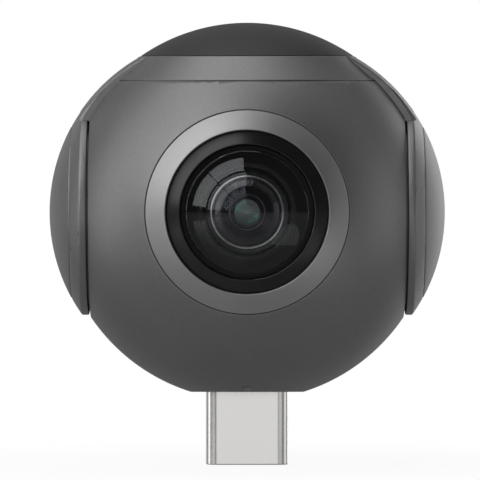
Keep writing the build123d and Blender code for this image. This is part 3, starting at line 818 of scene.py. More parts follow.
@dataclass(frozen=True)
class SatinPaint(Finish):
    """Metallic paint with fine flakes and a satin face.

    Attributes:
        colour: Colour of the flakes.
        metallic: How much of it is metal.
        rough: Roughness.
        grain: Size of a flake, in millimetres.
    """

    colour: Colour
    metallic: float
    rough: float
    grain: float = 0.11

    def shade(self, graph: Graph, where: Socket) -> Socket:
        """Build the paint's shader.

        Args:
            graph: The material's nodes.
            where: The place on the camera.

        Returns:
            The shader.
        """
        split = graph.node("ShaderNodeSeparateColor", None, {"Color": graph.cells(where, 1 / self.grain, "Color")})
        flake = Value(graph, split.outputs[0])
        cloud = graph.noise(where, 6.0, 3.0, 0.6)
        mottle = graph.noise(where, 0.35, 2.0, 0.6)
        return graph.surface(
            Base_Color=graph.tones(0.35 * flake + 0.35 * mottle + 0.3 * cloud, self.colour, 0.84, 1.18),
            Metallic=self.metallic, Roughness=(self.rough - 0.05) + 0.05 * flake + 0.05 * cloud,
            Normal=graph.bump(0.5 * mottle + 0.5 * flake, 0.004, 0.6))


@dataclass(frozen=True)
class TurnedMetal(Finish):
    """Metal turned about the lens axis, with fine tool marks.

    Attributes:
        colour: Colour of the metal.
        rough: Roughness.
        pitch: Distance between two tool marks, in millimetres.
        depth: Depth of the marks, in millimetres.
    """

    colour: Colour
    rough: float
    pitch: float = 0.09
    depth: float = 0.002

    def shade(self, graph: Graph, where: Socket) -> Socket:
        """Build the metal's shader.

        Args:
            graph: The material's nodes.
            where: The place on the camera.

        Returns:
            The shader.
        """
        x, _, z = graph.parts(where)
        mark = radial(x, z).wave(self.pitch)
        cloud = graph.noise(where, 2.0, 4.0, 0.6)
        streak = graph.noise(graph.place(stretch=(0.6, 6.0, 0.6)), 0.5, 3.0, 0.6)
        return graph.surface(
            Base_Color=graph.tones(0.4 * mark + 0.3 * cloud + 0.3 * streak, self.colour, 0.9, 1.1), Metallic=1.0,
            Roughness=(self.rough - 0.04) + 0.05 * mark + 0.06 * cloud,
            Normal=graph.bump(mark * 0.7 + 0.3 * streak, self.depth, 0.5))


@dataclass(frozen=True)
class BrushedMetal(Finish):
    """Sheet or drawn metal with a grain along one axis.

    Attributes:
        colour: Colour of the metal.
        rough: Roughness.
        grain: How much each axis counts for the grain; small along it.
        depth: Depth of the grain, in millimetres.
    """

    colour: Colour
    rough: float
    grain: tuple[float, float, float]
    depth: float = 0.003

    def shade(self, graph: Graph, where: Socket) -> Socket:
        """Build the metal's shader.

        Args:
            graph: The material's nodes.
            where: The place on the camera.

        Returns:
            The shader.
        """
        line = graph.noise(graph.place(stretch=self.grain), 0.12, 4.0, 0.65)
        cloud = graph.noise(where, 2.5, 3.0, 0.6)
        return graph.surface(Base_Color=graph.tones(0.5 * line + 0.5 * cloud, self.colour, 0.88, 1.08), Metallic=1.0,
                             Roughness=(self.rough - 0.06) + 0.08 * line + 0.06 * cloud,
                             Normal=graph.bump(line, self.depth, 0.5))


@dataclass(frozen=True)
class Moulded(Finish):
    """Moulded plastic or rubber with a fine eroded texture.

    Attributes:
        colour: Its colour.
        rough: Roughness.
        grain: Size of the texture, in millimetres.
        depth: Depth of the texture, in millimetres.
        coat: Weight of a glossy coat.
        specks: Strength of lighter specks in the material.
    """

    colour: Colour
    rough: float
    grain: float
    depth: float
    coat: float = 0.0
    specks: float = 0.15

    def shade(self, graph: Graph, where: Socket) -> Socket:
        """Build the plastic's shader.

        Args:
            graph: The material's nodes.
            where: The place on the camera.

        Returns:
            The shader.
        """
        fine = graph.noise(where, self.grain, 3.0, 0.6)
        cloud = graph.noise(where, 2.0, 3.0, 0.5)
        return graph.surface(
            Base_Color=graph.tones(0.6 * fine + 0.4 * cloud, self.colour, 1 - self.specks, 1 + self.specks, 0.004),
            Roughness=(self.rough - 0.04) + 0.05 * fine + 0.04 * cloud, Normal=graph.bump(fine, self.depth, 0.5),
            Coat_Weight=self.coat, Coat_Roughness=0.04)


@dataclass(frozen=True)
class Baffled(Finish):
    """Black anodised metal with fine threads against stray light.

    Attributes:
        colour: Its colour.
        rough: Roughness.
        pitch: Distance between two threads, in millimetres.
        depth: Their depth, in millimetres.
        sheen: Strength of its reflections; 0.5 is plain.
        metallic: How much of it is metal.
    """

    colour: Colour
    rough: float
    pitch: float
    depth: float
    sheen: float
    metallic: float

    def shade(self, graph: Graph, where: Socket) -> Socket:
        """Build the metal's shader.

        Args:
            graph: The material's nodes.
            where: The place on the camera.

        Returns:
            The shader.
        """
        x, y, z = graph.parts(where)
        thread = (radial(x, z) + 0.7 * y).wave(self.pitch)
        fine = graph.noise(where, 0.15, 3.0, 0.6)
        return graph.surface(Base_Color=graph.tones(0.7 * thread + 0.3 * fine, self.colour, 0.7, 1.5),
                             Metallic=self.metallic, Roughness=self.rough + 0.08 * fine,
                             Normal=graph.bump(thread + 0.2 * fine, self.depth, 0.6), Specular_IOR_Level=self.sheen)


@dataclass(frozen=True)
class CoatedGlass(Finish):
    """Optical glass with a coating that tints its reflections.

    Attributes:
        tint: Colour of what is seen through it.
        index: Refractive index.
        sheen: Colour of its reflections.
        mirror: Strength of its reflections; 1 stands for uncoated glass.
    """

    tint: Colour
    index: float
    sheen: Colour
    mirror: float = 1.0

    def shade(self, graph: Graph, where: Socket) -> Socket:
        """Build the glass's shader.

        Args:
            graph: The material's nodes.
            where: The place on the camera.

        Returns:
            The shader.
        """
        dust = graph.noise(where, 0.5, 3.0, 0.6)
        glass = graph.surface(Base_Color=graph.tones(dust, self.tint, 1.0, 0.96),
                              Roughness=dust.between(0.45, 0.8, 0.0, 0.03), IOR=self.index, Transmission_Weight=1.0,
                              Specular_Tint=tuple(c * self.mirror for c in self.sheen))
        clear = graph.node("ShaderNodeBsdfTransparent", None, {"Color": (*self.tint, 1.0)}).outputs["BSDF"]
        return graph.either(graph.node("ShaderNodeLightPath").outputs["Is Shadow Ray"], glass, clear)


@dataclass(frozen=True)
class SolderMask(Finish):
    """Circuit board with tracks under its solder mask and bare pads.

    Attributes:
        colour: Colour of the mask.
        pitch: Distance between two tracks, in millimetres.
    """

    colour: Colour = (0.004, 0.03, 0.02)
    pitch: float = 0.5

    def shade(self, graph: Graph, where: Socket) -> Socket:
        """Build the board's shader.

        Args:
            graph: The material's nodes.
            where: The place on the camera.

        Returns:
            The shader.
        """
        x, _, z = graph.parts(where)
        bend = graph.noise(where, 5.0, 0.0, 0.0)
        lane = ((x + 0.4 * z + 3.0 * (bend > 0.5)) / self.pitch).part()
        track = (lane - 0.5).size().between(0.14, 0.2, 1.0, 0.0)
        pad = Value(graph, graph.cells(where, 0.8, "Distance")).between(0.12, 0.16, 1.0, 0.0)
        mask = graph.tones(track, self.colour, 1.0, 1.9, 0.006)
        return graph.surface(Base_Color=graph.blend(pad, mask, (0.72, 0.5, 0.16)), Metallic=pad * 0.9,
                             Roughness=0.3 + 0.1 * bend, Normal=graph.bump(track + pad, 0.03, 0.6),
                             Coat_Weight=0.4, Coat_Roughness=0.15)


@dataclass(frozen=True)
class ChipTop(Finish):
    """Black moulded package with a matt top and a round key mark.

    Attributes:
        mark: Place of the key mark, in millimetres from the ball's middle.
        radius: Radius of the mark.
        colour: Its colour.
    """

    mark: tuple[float, float]
    radius: float = 0.35
    colour: Colour = (0.018, 0.018, 0.02)

    def shade(self, graph: Graph, where: Socket) -> Socket:
        """Build the package's shader.

        Args:
            graph: The material's nodes.
            where: The place on the camera.

        Returns:
            The shader.
        """
        x, _, z = graph.parts(where)
        fine = graph.noise(where, 0.06, 3.0, 0.7)
        dot = radial(x - self.mark[0], z - self.mark[1]).between(self.radius * 0.85, self.radius, 1.0, 0.0)
        base = graph.tones(fine, self.colour, 0.75, 1.3)
        return graph.surface(Base_Color=graph.blend(dot * 0.5, base, (0.1, 0.1, 0.1)), Roughness=0.62 - 0.3 * dot,
                             Normal=graph.bump(fine, 0.006, 0.6))


@dataclass(frozen=True)
class SensorFace(Finish):
    """Image sensor: a fine coloured grid behind a bond frame.

    Attributes:
        width: Width of the active area, in millimetres.
        height: Its height.
    """

    width: float = 5.6
    height: float = 4.8

    def shade(self, graph: Graph, where: Socket) -> Socket:
        """Build the sensor's shader.

        Args:
            graph: The material's nodes.
            where: The place on the camera.

        Returns:
            The shader.
        """
        x, _, z = graph.parts(where)
        inside = (x.size() < self.width / 2) * (z.size() < self.height / 2)
        grid = ((x / 0.12).part() > 0.5) * 0.5 + ((z / 0.12).part() > 0.5) * 0.5
        active = graph.blend(graph.noise(where, 3.0, 1.0, 0.5), (0.05, 0.03, 0.12), (0.03, 0.12, 0.08))
        lit = graph.blend(grid * 0.3, active, (0.14, 0.1, 0.06))
        bond = graph.blend(((x + z) / 0.4).part().between(0.4, 0.5), (0.02, 0.02, 0.025), (0.5, 0.36, 0.12))
        return graph.surface(Base_Color=graph.blend(inside, bond, lit), Metallic=0.5 * inside,
                             Roughness=0.35 - 0.15 * inside, Coat_Weight=0.5, Coat_Roughness=0.03)


@dataclass(frozen=True)
class FlexFilm(Finish):
    """Amber film of a flat cable with its copper tracks.

    Attributes:
        colour: Colour of the film.
        pitch: Distance between two tracks, in millimetres.
    """

    colour: Colour = (0.35, 0.13, 0.02)
    pitch: float = 0.3

    def shade(self, graph: Graph, where: Socket) -> Socket:
        """Build the film's shader.

        Args:
            graph: The material's nodes.
            where: The place on the camera.

        Returns:
            The shader.
        """
        lane = ((graph.parts(where)[0] / self.pitch).part() - 0.5).size().between(0.2, 0.26, 1.0, 0.0)
        fine = graph.noise(where, 0.3, 3.0, 0.6)
        base = graph.tones(fine, self.colour, 0.8, 1.0)
        return graph.surface(Base_Color=graph.blend(lane, base, (0.5, 0.22, 0.05)), Metallic=0.25 * lane,
                             Roughness=0.3 + 0.1 * fine, Normal=graph.bump(lane, 0.02, 0.6), Coat_Weight=0.5)


@dataclass(frozen=True)
class ClearRod(Finish):
    """Clear moulded plastic of the light pipe, a little cloudy.

    Attributes:
        colour: Its colour.
    """

    colour: Colour = (0.85, 0.87, 0.88)

    def shade(self, graph: Graph, where: Socket) -> Socket:
        """Build the plastic's shader.

        Args:
            graph: The material's nodes.
            where: The place on the camera.

        Returns:
            The shader.
        """
        cloud = graph.noise(where, 0.4, 3.0, 0.6)
        return graph.surface(Base_Color=graph.tones(cloud, self.colour, 0.9, 1.0), Roughness=0.12 + 0.1 * cloud,
                             IOR=1.49, Transmission_Weight=0.7)


@dataclass
class Wardrobe:
    """All finishes of the camera, each made once when it is first asked for.

    Attributes:
        finishes: The finishes by name.
        made: The materials made so far.
    """

    finishes: dict[str, Finish]
    made: dict[str, bpy.types.Material] = field(default_factory=dict)

    def get(self, name: str) -> bpy.types.Material:
        """Give the material of a finish.

        Args:
            name: Name of the finish.

        Returns:
            The material, which is built on the first call.
        """
        if name not in self.made:
            self.made[name] = self.finishes[name].make()
        return self.made[name]


def grey(level: float) -> Colour:
    """Grey of a level."""
    return level, level, level


def stock() -> Wardrobe:
    """Set up the camera's finishes.

    Returns:
        The wardrobe that holds them.
    """
    return Wardrobe({finish.name: finish for finish in (
        SatinPaint("housing_paint", grey(0.288), 1.0, 0.5),
        SatinPaint("frame_paint", grey(0.295), 1.0, 0.48),
        SatinPaint("dark_cap", grey(0.09), 0.9, 0.55),
        TurnedMetal("trim_aluminium", grey(0.45), 0.45),
        Moulded("bezel_black", grey(0.004), 0.24, 0.4, 0.0004, 0.0, 0.1),
        Moulded("seal_rubber", grey(0.015), 0.75, 0.12, 0.01),
        Baffled("black_anodised", (0.008, 0.008, 0.009), 0.5, 0.16, 0.01, 0.15, 0.0),
        Baffled("barrel_black", grey(0.005), 0.55, 0.12, 0.006, 0.2, 0.0),
        Baffled("lip_polished", (0.46, 0.46, 0.47), 0.24, 0.05, 0.0006, 0.5, 1.0),
        Baffled("lip_violet", (0.1, 0.085, 0.13), 0.3, 0.05, 0.0006, 0.5, 0.8),
        Baffled("edge_black", grey(0.004), 0.7, 0.12, 0.001, 0.05, 0.0),
        CoatedGlass("dome_glass", (0.96, 0.97, 0.97), 1.5, (0.95, 0.97, 1.0)),
        CoatedGlass("dome_back", (0.96, 0.97, 0.97), 1.5, (0.8, 0.85, 1.0), 0.3),
        CoatedGlass("second_glass", (0.9, 0.93, 0.95), 1.55, (0.85, 0.8, 1.0), 0.3),
        CoatedGlass("third_glass", (0.88, 0.92, 0.9), 1.6, (0.1, 1.0, 0.7), 0.5),
        CoatedGlass("fourth_glass", (0.85, 0.9, 0.8), 1.65, (1.0, 0.45, 0.1), 0.3),
        CoatedGlass("fifth_glass", (0.9, 0.85, 0.75), 1.6, (0.7, 1.0, 0.15), 0.3),
        CoatedGlass("filter_glass", (0.75, 0.95, 0.9), 1.52, (1.0, 0.5, 0.6), 0.3),
        Moulded("holder_black", grey(0.02), 0.5, 0.1, 0.006),
        SensorFace("sensor_face"),
        SolderMask("board_mask"),
        FlexFilm("flex_amber"),
        ChipTop("chip_black", (-3.6, 3.6)),
        ChipTop("memory_black", (-3.7, -3.0)),
        Moulded("pad_grey", (0.32, 0.33, 0.36), 0.85, 0.2, 0.02, 0.0, 0.2),
        BrushedMetal("spreader_aluminium", (0.75, 0.75, 0.76), 0.35, (0.05, 1.0, 1.0)),
        BrushedMetal("shield_steel", (0.62, 0.62, 0.6), 0.3, (1.0, 1.0, 0.08)),
        BrushedMetal("screw_steel", (0.45, 0.45, 0.44), 0.32, (1.0, 0.1, 1.0)),
        Moulded("connector_ivory", (0.72, 0.66, 0.52), 0.45, 0.1, 0.004, 0.0, 0.05),
        Moulded("led_white", (0.85, 0.85, 0.8), 0.3, 0.15, 0.002, 0.3, 0.05),
        ClearRod("pipe_clear"),
        BrushedMetal("plug_nickel", (0.9, 0.89, 0.88), 0.22, (1.0, 1.0, 0.05), 0.0012),
        Moulded("plug_black", grey(0.015), 0.45, 0.08, 0.004),
        BrushedMetal("contact_gold", (0.9, 0.62, 0.22), 0.25, (1.0, 1.0, 0.1), 0.001),
        BrushedMetal("bracket_steel", (0.55, 0.55, 0.53), 0.38, (0.1, 1.0, 1.0)))})


@dataclass
class Assembly(ABC):
    """A group of the camera's pieces.

    Attributes:
        wardrobe: The camera's finishes.
    """

    wardrobe: Wardrobe

    @abstractmethod
    def build(self) -> None:
        """Make the pieces and dress them."""

    def hand_over(self, piece: Piece, node: str, slot: str, *looks: str) -> None:
        """Dress a finished piece, let it ride on the camera's body and stand for its CAD node.

        Args:
            piece: The piece.
            node: The CAD node that it stands for.
            slot: Name of its finish, used where no looks are given.
            looks: Names of its finishes, where there is more than the one of the slot's name.
        """
        for look in looks or (slot,):
            piece.data.materials.append(self.wardrobe.get(look))
        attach(piece, BODY)
        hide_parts(node)
        uses = Counter(key for polygon in piece.data.polygons for key in polygon.edge_keys)
        log.info("%s: %d faces, %d open edges, stands for %s", piece.name, len(piece.data.polygons),
                 sum(count != 2 for count in uses.values()), node)


@dataclass
class BallShell(Assembly):
    """The two halves of the ball's housing.

    Attributes:
        flat: Distance of the flats under the pods from the middle.
        recess_radius: Radius of the recess round a lens.
        recess_floor: Height of its seat on the lens axis.
        opening_radius: Radius of the hole for the lens.
        core: Height where the solid middle starts that the room takes away.
        inner_radius: Radius of the room inside.
        room_depth: How far the room goes towards a lens.
        flat_wall: Wall behind the flats.
        floor_wall: Wall over the base.
        arm_half: Half width of the bed for the frame's arms.
        arm_bed: Radius of the bed.
        arm_root: Height over the middle where the bed starts.
        plug_width: Width of the hole for the plug.
        plug_thickness: Its thickness.
        dimple_out: Distance of the dimple from the middle plane.
        dimple_radius: Its radius.
        dimple_depth: Its depth.
        base_rise: How much the base face rises towards the lens, in degrees.
        seam: Gap under the ring.
        edge: Width of the rounding on edges.
    """

    flat: float = 15.6
    recess_radius: float = 9.92
    recess_floor: float = 15.23
    opening_radius: float = 8.75
    core: float = 11.0
    inner_radius: float = 16.82
    room_depth: float = 13.58
    flat_wall: float = 1.2
    floor_wall: float = 2.8
    arm_half: float = 4.81
    arm_bed: float = 17.59
    arm_root: float = 7.94
    plug_width: float = 8.37
    plug_thickness: float = 2.52
    dimple_out: float = 7.2
    dimple_radius: float = 0.55
    dimple_depth: float = 0.3
    base_rise: float = 1.95
    seam: float = 0.002
    edge: float = 0.03

    @staticmethod
    def narrow(piece: Piece, half: float) -> None:
        """Saw both sides of a piece flat at half its width."""
        for sign in (1, -1):
            Bench.slice(piece, Vector((sign * half, 0, 0)), Vector((sign, 0, 0)))

    def outside(self) -> Piece:
        """Front half of the ball as a full solid, with the recess for the lens.

        Returns:
            The solid, sawn flat for the pods, the base and the frame's ring.
        """
        skin = bow(0.0, BALL.radius, 90.0, math.degrees(math.asin(self.recess_radius / BALL.radius)))
        skin[-1] = (*skin[-1], 0.05)
        outline = [(0.0, 0.0), *skin, (self.recess_radius, self.recess_floor, 0.03),
                   (self.opening_radius, self.recess_floor, 0.05), (self.opening_radius, self.core), (0.0, self.core)]
        half = Bench.turn("front_shell_cover", LENS.turned(0.4), outline, 240)
        self.narrow(half, self.flat)
        rise = math.radians(self.base_rise)
        Bench.slice(half, Vector((0, 0, 0)), Vector((0, -math.sin(rise), -math.cos(rise))))
        Bench.slice(half, Vector((0, 0, BALL.height + BALL.ring_low - self.seam)), BALL.upward)
        return half

    def room(self) -> Piece:
        """Make the room inside the front half.

        Returns:
            The solid of the room.
        """
        wall = [(self.inner_radius * math.cos(math.radians(a)), self.inner_radius * math.sin(math.radians(a)))
                for a in (18, 36, 54)]
        outline = [(0.0, -1.0), (self.inner_radius, -1.0), (self.inner_radius, 0.5), *wall, (0.0, self.room_depth)]
        room = Bench.turn("room", LENS.turned(1.1), outline, 64)
        self.narrow(room, self.flat - self.flat_wall)
        Bench.slice(room, Vector((0, 0, self.floor_wall)), Vector((0, 0, -1)))
        return room

    def bed(self) -> Piece:
        """Make the band that clears the frame's two arms.

        Returns:
            The solid of the band.
        """
        outline = [(self.arm_bed, -self.arm_half), (self.arm_bed, self.arm_half), (BALL.reach, self.arm_half),
                   (BALL.reach, -self.arm_half)]
        band = Bench.turn("bed", LENS.turned(0.15), outline, 180)
        Bench.slice(band, Vector((0, 0, BALL.height + self.arm_root)), Vector((0, 0, -1)))
        return band

    def dimple(self) -> Piece:
        """Make the small dished hollow over the light pipe's end.

        Returns:
            The solid of the hollow.
        """
        way = Vector((0, -self.dimple_out, -math.sqrt(BALL.radius**2 - self.dimple_out**2))) / BALL.radius
        top, low = BALL.radius + 0.6, BALL.radius - self.dimple_depth
        outline = [(0.0, low), (self.dimple_radius * 0.8, low, 0.06), (self.dimple_radius, BALL.radius),
                   (self.dimple_radius * 1.3, top), (0.0, top)]
        return Bench.turn("dimple", Spindle(MIDDLE, way, Vector((1, 0, 0))), outline, 32)

    def rounded(self, place: Vector) -> bool:
        """True for edges of the skin away from the ring."""
        return place.z < BALL.height + BALL.ring_low - 0.7 or (place - MIDDLE).length < BALL.radius - 0.5

    def build(self) -> None:
        """Make both halves and dress them."""
        front = self.outside()
        slot = PlugSet.stadium("slot", self.plug_width, self.plug_thickness, -2.0, 6.0, 16)
        for tool in (self.room(), self.bed(), slot):
            Bench.combine(front, tool, Cut.REMOVE)
        rear = Bench.half_turn(front, "rear_shell_cover")
        Bench.combine(front, self.dimple(), Cut.REMOVE)
        for half, node in ((front, "front_shell"), (rear, "rear_shell")):
            Bench.round_chosen(half, self.edge, self.rounded, 2, 32.0, 0.012)
            Bench.smooth(half)
            self.hand_over(half, node, "housing_paint")


@dataclass
class HeadbandFrame(Assembly):
    """Frame in one moulding: ring, arms and pods.

    Attributes:
        ring_low_radius: Radius of the ring's lower edge at its level over the middle.
        ring_high_radius: Radius of its upper edge.
        ring_low_level: Level where the lower radius counts.
        ring_high_level: Level where the upper radius counts.
        ring_bore: Radius of its bore.
        pod_radius: Radius of a pod.
        pod_back: Distance of a pod's back from the middle.
        seat_radius: Radius of the pod's seat on the shell.
        flat: Distance of the seat from the middle.
        sphere_radius: Radius of the pods' own sphere.
        sphere_shift: Distance of its middle and the arms' from the ball's.
        cap_floor: Distance of the cap's seat from the middle.
        cap_radius: Radius of the hole for the cap.
        arm_bed: Inner radius of the arms.
        arm_foot: Half width of an arm at the ball's surface.
        arm_lean: How much its sides come in for each millimetre up.
        arm_root: Height over the middle where it starts.
        arm_radius: Outer radius of the arms in the middle of their width.
        arm_crown: Radius of their outer face across the width.
        arm_lift: Height of their centre over the ball's middle.
        skin: Distance from the middle beyond which edges are rounded.
        lower_edge: Width of the rounding on the ring's lower edge.
        edge: Width of the rounding on edges.
    """

    ring_low_radius: float = 13.832
    ring_high_radius: float = 11.087
    ring_low_level: float = 12.708
    ring_high_level: float = 15.278
    ring_bore: float = 9.587
    pod_radius: float = 10.268
    pod_back: float = 15.8
    seat_radius: float = 9.168
    flat: float = 15.6
    sphere_radius: float = 17.75
    sphere_shift: float = 2.0
    cap_floor: float = 16.95
    cap_radius: float = 8.598
    arm_bed: float = 17.65
    arm_foot: float = 4.75
    arm_lean: float = 0.877
    arm_root: float = 8.0
    arm_radius: float = 17.77
    arm_crown: float = 26.0
    arm_lift: float = 0.04
    skin: float = 18.45
    lower_edge: float = 0.2
    edge: float = 0.11

    def ring(self) -> Piece:
        """Make the ring round the top, with its lower edge dipping towards both lenses.

        Returns:
            The ring.
        """
        slope = (self.ring_low_radius - self.ring_high_radius) / (self.ring_high_level - self.ring_low_level)
        spare = 1.2
        outline = [(self.ring_bore, self.ring_low_level - spare),
                   (self.ring_low_radius + slope * spare, self.ring_low_level - spare),
                   (self.ring_bore, self.ring_high_level + (self.ring_high_radius - self.ring_bore) / slope)]
        return Bench.gable(Bench.turn("ring", UP, outline, 240), BALL.ring_low)

    def arm(self) -> Piece:
        """Make the arm on the right, with leaning sides and a slightly crowned outer face.

        Returns:
            The arm.
        """
        top = BALL.reach
        side = [(self.arm_bed, self.arm_foot), (BALL.radius, self.arm_foot),
                (top, self.arm_foot - self.arm_lean * (top - BALL.radius))]
        band = Bench.turn("arm", LENS.turned(0.15), side + [(r, -w) for r, w in reversed(side)], 180)
        Bench.slice(band, Vector((0, 0, BALL.height + self.arm_root)), Vector((0, 0, -1)))
        Bench.slice(band, MIDDLE, Vector((-1, 0, 0)))
        half, steps = self.arm_foot + 0.6, 16
        across = [half * (2 * i / steps - 1) for i in range(steps + 1)]
        skin = [(0.0, -half), *((self.arm_radius - y * y / (2 * self.arm_crown), y) for y in across), (0.0, half)]
        Bench.combine(band, Bench.turn("arm_skin", LENS.moved(self.sphere_shift, self.arm_lift), skin, 180), Cut.KEEP)
        end = rod(self.pod_radius - 0.06, 10.0, top)
        Bench.combine(band, Bench.turn("arm_end", RIGHT.turned(0.5), end, 160), Cut.REMOVE)
        return band

    def ear(self) -> Piece:
        """Make the pod and arm on the right.

        Returns:
            Both in one solid.
        """
        top = BALL.reach
        outline = [(0.0, self.flat), (self.seat_radius, self.flat), (self.seat_radius, self.pod_back),
                   (self.pod_radius, self.pod_back), (self.pod_radius, top), (0.0, top)]
        pod = Bench.turn("ear", RIGHT.turned(0.9), outline, 200)
        ball = bow(0.0, self.sphere_radius, 180.0, 0.0, 1.6)
        Bench.combine(pod, Bench.turn("sphere", LENS.moved(self.sphere_shift, 0), ball, 220), Cut.KEEP)
        Bench.combine(pod, self.arm(), Cut.JOIN)
        hole = rod(self.cap_radius, self.cap_floor, top)
        Bench.combine(pod, Bench.turn("hole", RIGHT.turned(0.3), hole, 200), Cut.REMOVE)
        return pod

    def roof(self) -> Piece:
        """Make the solid of all that lies over the ring's upper edge.

        Returns:
            The solid, whose lower face dips towards both lenses.
        """
        reach, top = BALL.reach + 2, BALL.reach
        edge = BALL.ring_high - reach * BALL.dip
        side = [(-reach, edge), (0.0, BALL.ring_high), (reach, edge), (reach, top), (-reach, top)]
        return Bench.prism("roof", [Vector((-reach, y, BALL.height + z)) for y, z in side],
                           Vector((2 * reach, 0, 0)))

    def under(self, place: Vector) -> bool:
        """True for the ring's lower outer edge."""
        out = place - MIDDLE
        return abs(out.z + abs(out.y) * BALL.dip - BALL.ring_low) < 0.02 and math.hypot(out.x, out.y) > 13.0

    def rounded(self, place: Vector) -> bool:
        """Tell where the outer skin's edges are rounded.

        Args:
            place: Middle of an edge.

        Returns:
            True on the skin, but not where an arm runs out on the ring or ends on a pod.
        """
        out = place - MIDDLE
        tip = abs(out.x) > 9.0 and 3.6 < abs(out.y) < 5.0 and out.z > BALL.ring_high - 0.4
        foot = (abs(out.x) > 15.0 and out.z > self.arm_root
                and self.cap_radius + 0.2 < math.hypot(out.y, out.z) < self.pod_radius - 0.03)
        return out.length > self.skin and not tip and not foot

    def build(self) -> None:
        """Make the frame and dress it."""
        right = self.ear()
        left = Bench.mirror(right, "ear_left", 0)
        moulding = self.ring()
        bore = rod(self.ring_bore - 0.01, self.arm_root, BALL.reach)
        for tool, how in ((right, Cut.JOIN), (left, Cut.JOIN),
                          (Bench.turn("bore", UP.turned(0.7), bore, 240), Cut.REMOVE), (self.roof(), Cut.REMOVE)):
            Bench.combine(moulding, tool, how)
        Bench.round_chosen(moulding, self.lower_edge, self.under, 6, 25.0, 0.008)
        Bench.round_chosen(moulding, self.edge, self.rounded, 3, 25.0, 0.008)
        Bench.smooth(moulding, 35.0)
        moulding.name = "side_frame_moulding"
        self.hand_over(moulding, "side_frame", "frame_paint")


@dataclass
class Caps(Assembly):
    """Dark cap on the top and the domed caps in the pods.

    Attributes:
        top_radius: Radius of the top cap's sphere.
        top_lift: Height of its middle over the ball's.
        top_wall: Its wall.
        spigot_radius: Radius of the spigot in the ring's bore.
        spigot_wall: Its wall.
        side_radius: Radius of a side cap's sphere.
        side_apex: Distance of its middle from the ball's.
        side_floor: Distance of its rim's seat.
        side_rim: Radius of its rim.
        side_wall: Its wall.
        seam: Gap over the ring.
        edge: Rounding of the rims.
    """

    top_radius: float = 18.66
    top_lift: float = 0.27
    top_wall: float = 1.3
    spigot_radius: float = 9.557
    spigot_wall: float = 1.0
    side_radius: float = 17.92
    side_apex: float = 19.75
    side_floor: float = 16.95
    side_rim: float = 8.538
    side_wall: float = 1.0
    seam: float = 0.02
    edge: float = 0.1

    def top(self) -> None:
        """Make the top cap and its spigot."""
        inner = self.top_radius - self.top_wall
        outline = [*bow(0.0, self.top_radius, 0.0, 42.0), *bow(0.0, inner, 42.0, 0.0, 3.0)]
        dome = Bench.gable(Bench.turn("top_cap_dome", UP.moved(0, self.top_lift), outline, 240),
                           BALL.ring_high + self.seam)
        low, high = BALL.ring_high - 1.0, self.top_lift + math.sqrt(inner**2 - (self.spigot_radius - 1) ** 2) + 0.6
        room = self.spigot_radius - self.spigot_wall
        spigot = [(room, low, 0.1), (self.spigot_radius, low, 0.2), (self.spigot_radius, high), (room, high)]
        Bench.combine(dome, Bench.turn("spigot", UP, spigot, 160), Cut.JOIN)
        Bench.round_edges(dome, self.edge, 3, 30.0, 0.02)
        Bench.smooth(dome)
        self.hand_over(dome, "top_cap", "dark_cap")

    def sides(self) -> None:
        """Make one domed cap and its twin."""
        middle = self.side_apex - self.side_radius
        inner = self.side_radius - self.side_wall
        skin = bow(middle, self.side_radius, 0.0, math.degrees(math.asin(self.side_rim / self.side_radius)))
        skin[-1] = (*skin[-1], self.edge)
        below = bow(middle, inner, math.degrees(math.acos((self.side_floor - middle) / inner)), 0.0, 3.0)
        right = Bench.turn("right_cap_dome", RIGHT, [*skin, (self.side_rim, self.side_floor, 0.05), *below], 200)
        left = Bench.mirror(right, "left_cap_dome", 0)
        for cap, node in ((right, "right_cap"), (left, "left_cap")):
            Bench.smooth(cap)
            self.hand_over(cap, node, "housing_paint")

    def build(self) -> None:
        """Make all three caps."""
        self.top()
        self.sides()


